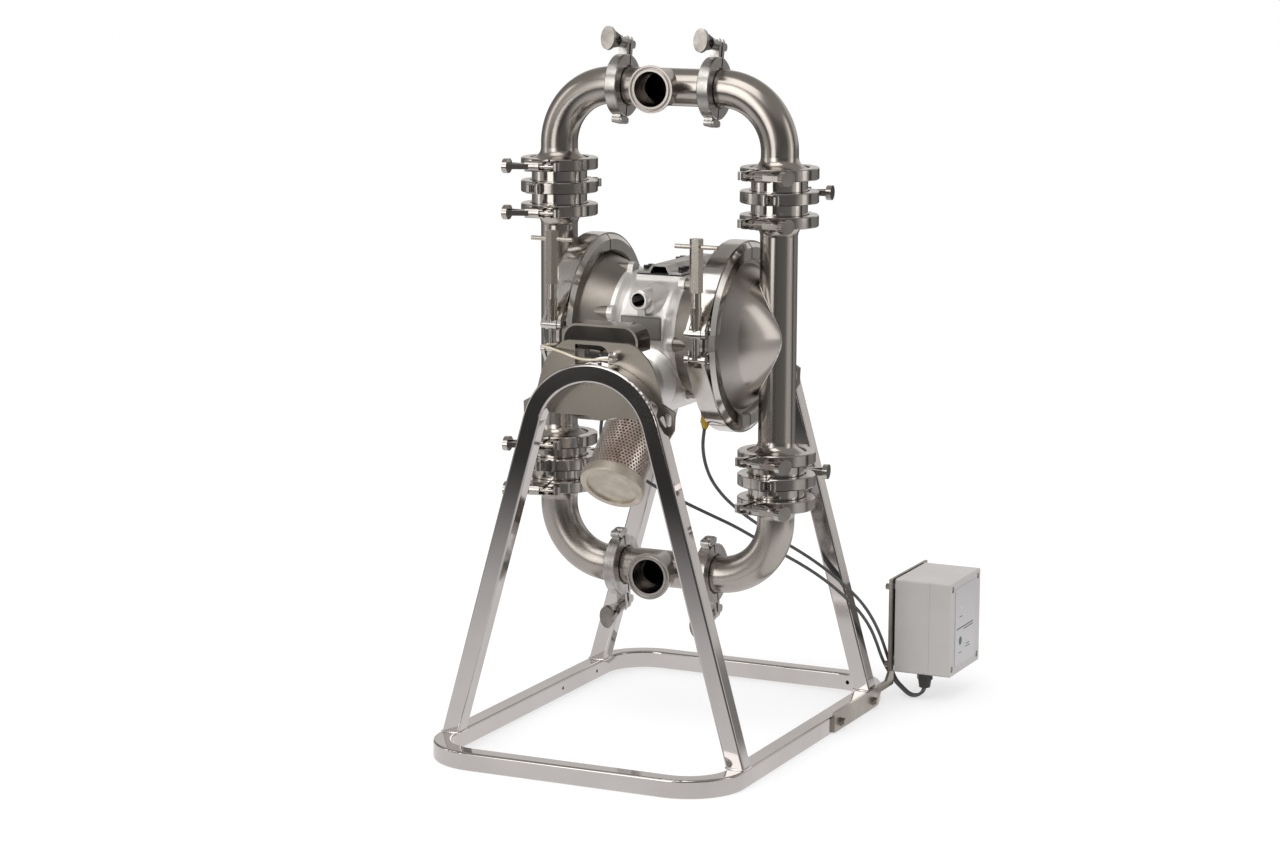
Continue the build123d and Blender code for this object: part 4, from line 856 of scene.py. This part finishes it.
# %% [markdown]
# ## Small things on the metal
# Weld beads join the legs to the base. A bead round a square tube starts as a ring: its four quarters are
# moved apart, and the faces between them stretch into the straight runs.

# %% Weld beads
LEG_X, LEG_Y, BEAD_HEIGHT = 210, 227, 25.2
BEAD_SIZE, BEAD_CORNER, BEAD_WIRE = (27.0, 26.0), 4.0, 1.5
weld_metal = finish("weld_bead", clean=(0.86, 0.85, 0.83), dull=(0.66, 0.64, 0.61), roughness=(0.15, 0.3),
                    patches=250.0, skin=500.0, depth=0.0005)


def square_bead(shape, place):
    """Adds a bead round a leg's foot."""
    ring = wire_ring(shape, BEAD_CORNER, BEAD_WIRE, steps=24)
    for axis in (0, 1):
        run = (BEAD_SIZE[axis] / 2 - BEAD_CORNER) / 1000
        for sign in (-1, 1):
            step = [0, 0, 0]
            step[axis] = sign * run
            bmesh.ops.translate(shape, verts=[v for v in ring if v.co[axis] * sign > 1e-7], vec=step)
    bmesh.ops.translate(shape, verts=ring, vec=here(*place))


beads = bmesh.new()
for x in (-LEG_X, LEG_X):
    for y in (-LEG_Y, LEG_Y):
        square_bead(beads, (x, y, BEAD_HEIGHT))
new_piece("leg_weld_beads", beads, "stand", weld_metal)
print("leg beads made")

# %% [markdown]
# Behind its front edge the front saddle's collar is closed by a thin dark sheet. It could be a painted
# region of the saddle, but the saddle has no surface there, so it is a piece: a flat grid, its two upper
# corners rounded by a vertex bevel, stood upright and given a thickness.

# %% Painted shade sheet in the front saddle's collar
FACE_SIZE, FACE_CORNER, FACE_THICKNESS = (0.1038, 0.0305, 1), 0.0185, 0.001
FACE_MIDDLE = (0, -209.4, 573.7)


def collar_face():
    """Thin sheet of painted shade with two rounded corners."""
    shape = bmesh.new()
    bmesh.ops.create_grid(shape, x_segments=1, y_segments=1, size=0.5)
    bmesh.ops.scale(shape, verts=shape.verts, vec=FACE_SIZE)
    top = [v for v in shape.verts if v.co.y > 0]
    bmesh.ops.bevel(shape, geom=top, offset=FACE_CORNER, affect="VERTICES", segments=10, profile=0.5,
                    material=-1)
    bmesh.ops.rotate(shape, verts=shape.verts, cent=(0, 0, 0), matrix=Matrix.Rotation(pi / 2, 3, "X"))
    bmesh.ops.translate(shape, verts=shape.verts, vec=here(*FACE_MIDDLE))
    grown = bmesh.ops.extrude_face_region(shape, geom=shape.faces[:])["geom"]
    front = [g for g in grown if isinstance(g, bmesh.types.BMVert)]
    bmesh.ops.translate(shape, verts=front, vec=(0, -FACE_THICKNESS, 0))
    bmesh.ops.recalc_face_normals(shape, faces=shape.faces)
    return shape


# Near-black and glossy: painted shade for the shaded inside of the collar.
painted_shade_sheet = finish("painted_shade_sheet", clean=(0.075, 0.068, 0.062), dull=(0.045, 0.041, 0.038),
                   roughness=(0.08, 0.16), patches=30.0, lines=(500, 500, 20), depth=0.000006)
new_piece("collar_face", collar_face(), "stand", painted_shade_sheet, smooth=False)
print("collar face made")

# %% [markdown]
# Each riser is welded to the dome of its cover along a saddle-shaped seam. The dome's outline is an arc
# through its foot and its tip, bulged outwards. Round the shaft's axis, the seam is wherever that dome
# comes as near to the riser's axis as the riser's radius, which halving an interval finds quickly.

# %% Where dome and riser meet
DOME_FOOT, DOME_TIP = Vector((99.0, 116.504)), Vector((17.0, 180.0))    # radius, distance from the middle
DOME_BULGE = 7.0
RISER_AWAY, RISER_RADIUS = 164, 25.4
SEAM_SEARCH = 138.0, 180.0
HALVINGS = 40


def dome_radius(away):
    """Radius of the fluid cover's dome at a distance from the pump's middle."""
    slant = DOME_FOOT - DOME_TIP
    half = slant.length / 2
    arc = (half ** 2 + DOME_BULGE ** 2) / (2 * DOME_BULGE)
    outward = Vector((-slant.y, slant.x)).normalized()
    centre = (DOME_FOOT + DOME_TIP) / 2 + outward * (DOME_BULGE - arc)
    return centre.x + sqrt(max(arc ** 2 - (away - centre.y) ** 2, 0.0))


def seam_point(turn):
    """Point where the dome meets the riser, at an angle round the shaft's axis."""
    low, high = SEAM_SEARCH
    for _ in range(HALVINGS):
        away = (low + high) / 2
        radius = dome_radius(away)
        if (away - RISER_AWAY) ** 2 + (radius * cos(turn)) ** 2 > RISER_RADIUS ** 2:
            low = away
        else:
            high = away
    return away, -radius * cos(turn), radius * sin(turn)


print("seam from", round(seam_point(0)[0], 1), "to", round(seam_point(pi / 2)[0], 1), "mm out")

# %% [markdown]
# The bead is a closed curve through those points with a thin round bevel, turned into a mesh.

# %% Seams between covers and risers
SEAM_RADIUS = 0.0009
SEAM_POINTS = 96


def riser_seam(name, side):
    """Thin bead along the seam of one cover; side is -1 for the left one and 1 for the right one."""
    data = bpy.data.curves.new(name, "CURVE")
    data.dimensions = "3D"
    data.bevel_depth = SEAM_RADIUS
    data.bevel_resolution = 2
    spline = data.splines.new("POLY")
    spline.points.add(SEAM_POINTS - 1)
    for step, point in enumerate(spline.points):
        x, y, z = seam_point(2 * pi * step / SEAM_POINTS)
        point.co = (*here(side * x, y, SHAFT_HEIGHT + z), 1)
    spline.use_cyclic_u = True
    mesh = mesh_of(data)
    shape = bmesh.new()
    shape.from_mesh(mesh)
    bpy.data.meshes.remove(mesh)
    bmesh.ops.recalc_face_normals(shape, faces=shape.faces)
    return new_piece(name, shape, "pump", weld_metal)


for side, sign in (("left", -1), ("right", 1)):
    print(riser_seam(f"{side}_riser_seam", sign).name)

# %% [markdown]
# The last cell sets the view transform to Standard.

# %% Finish
bpy.context.scene.view_settings.view_transform = "Standard"
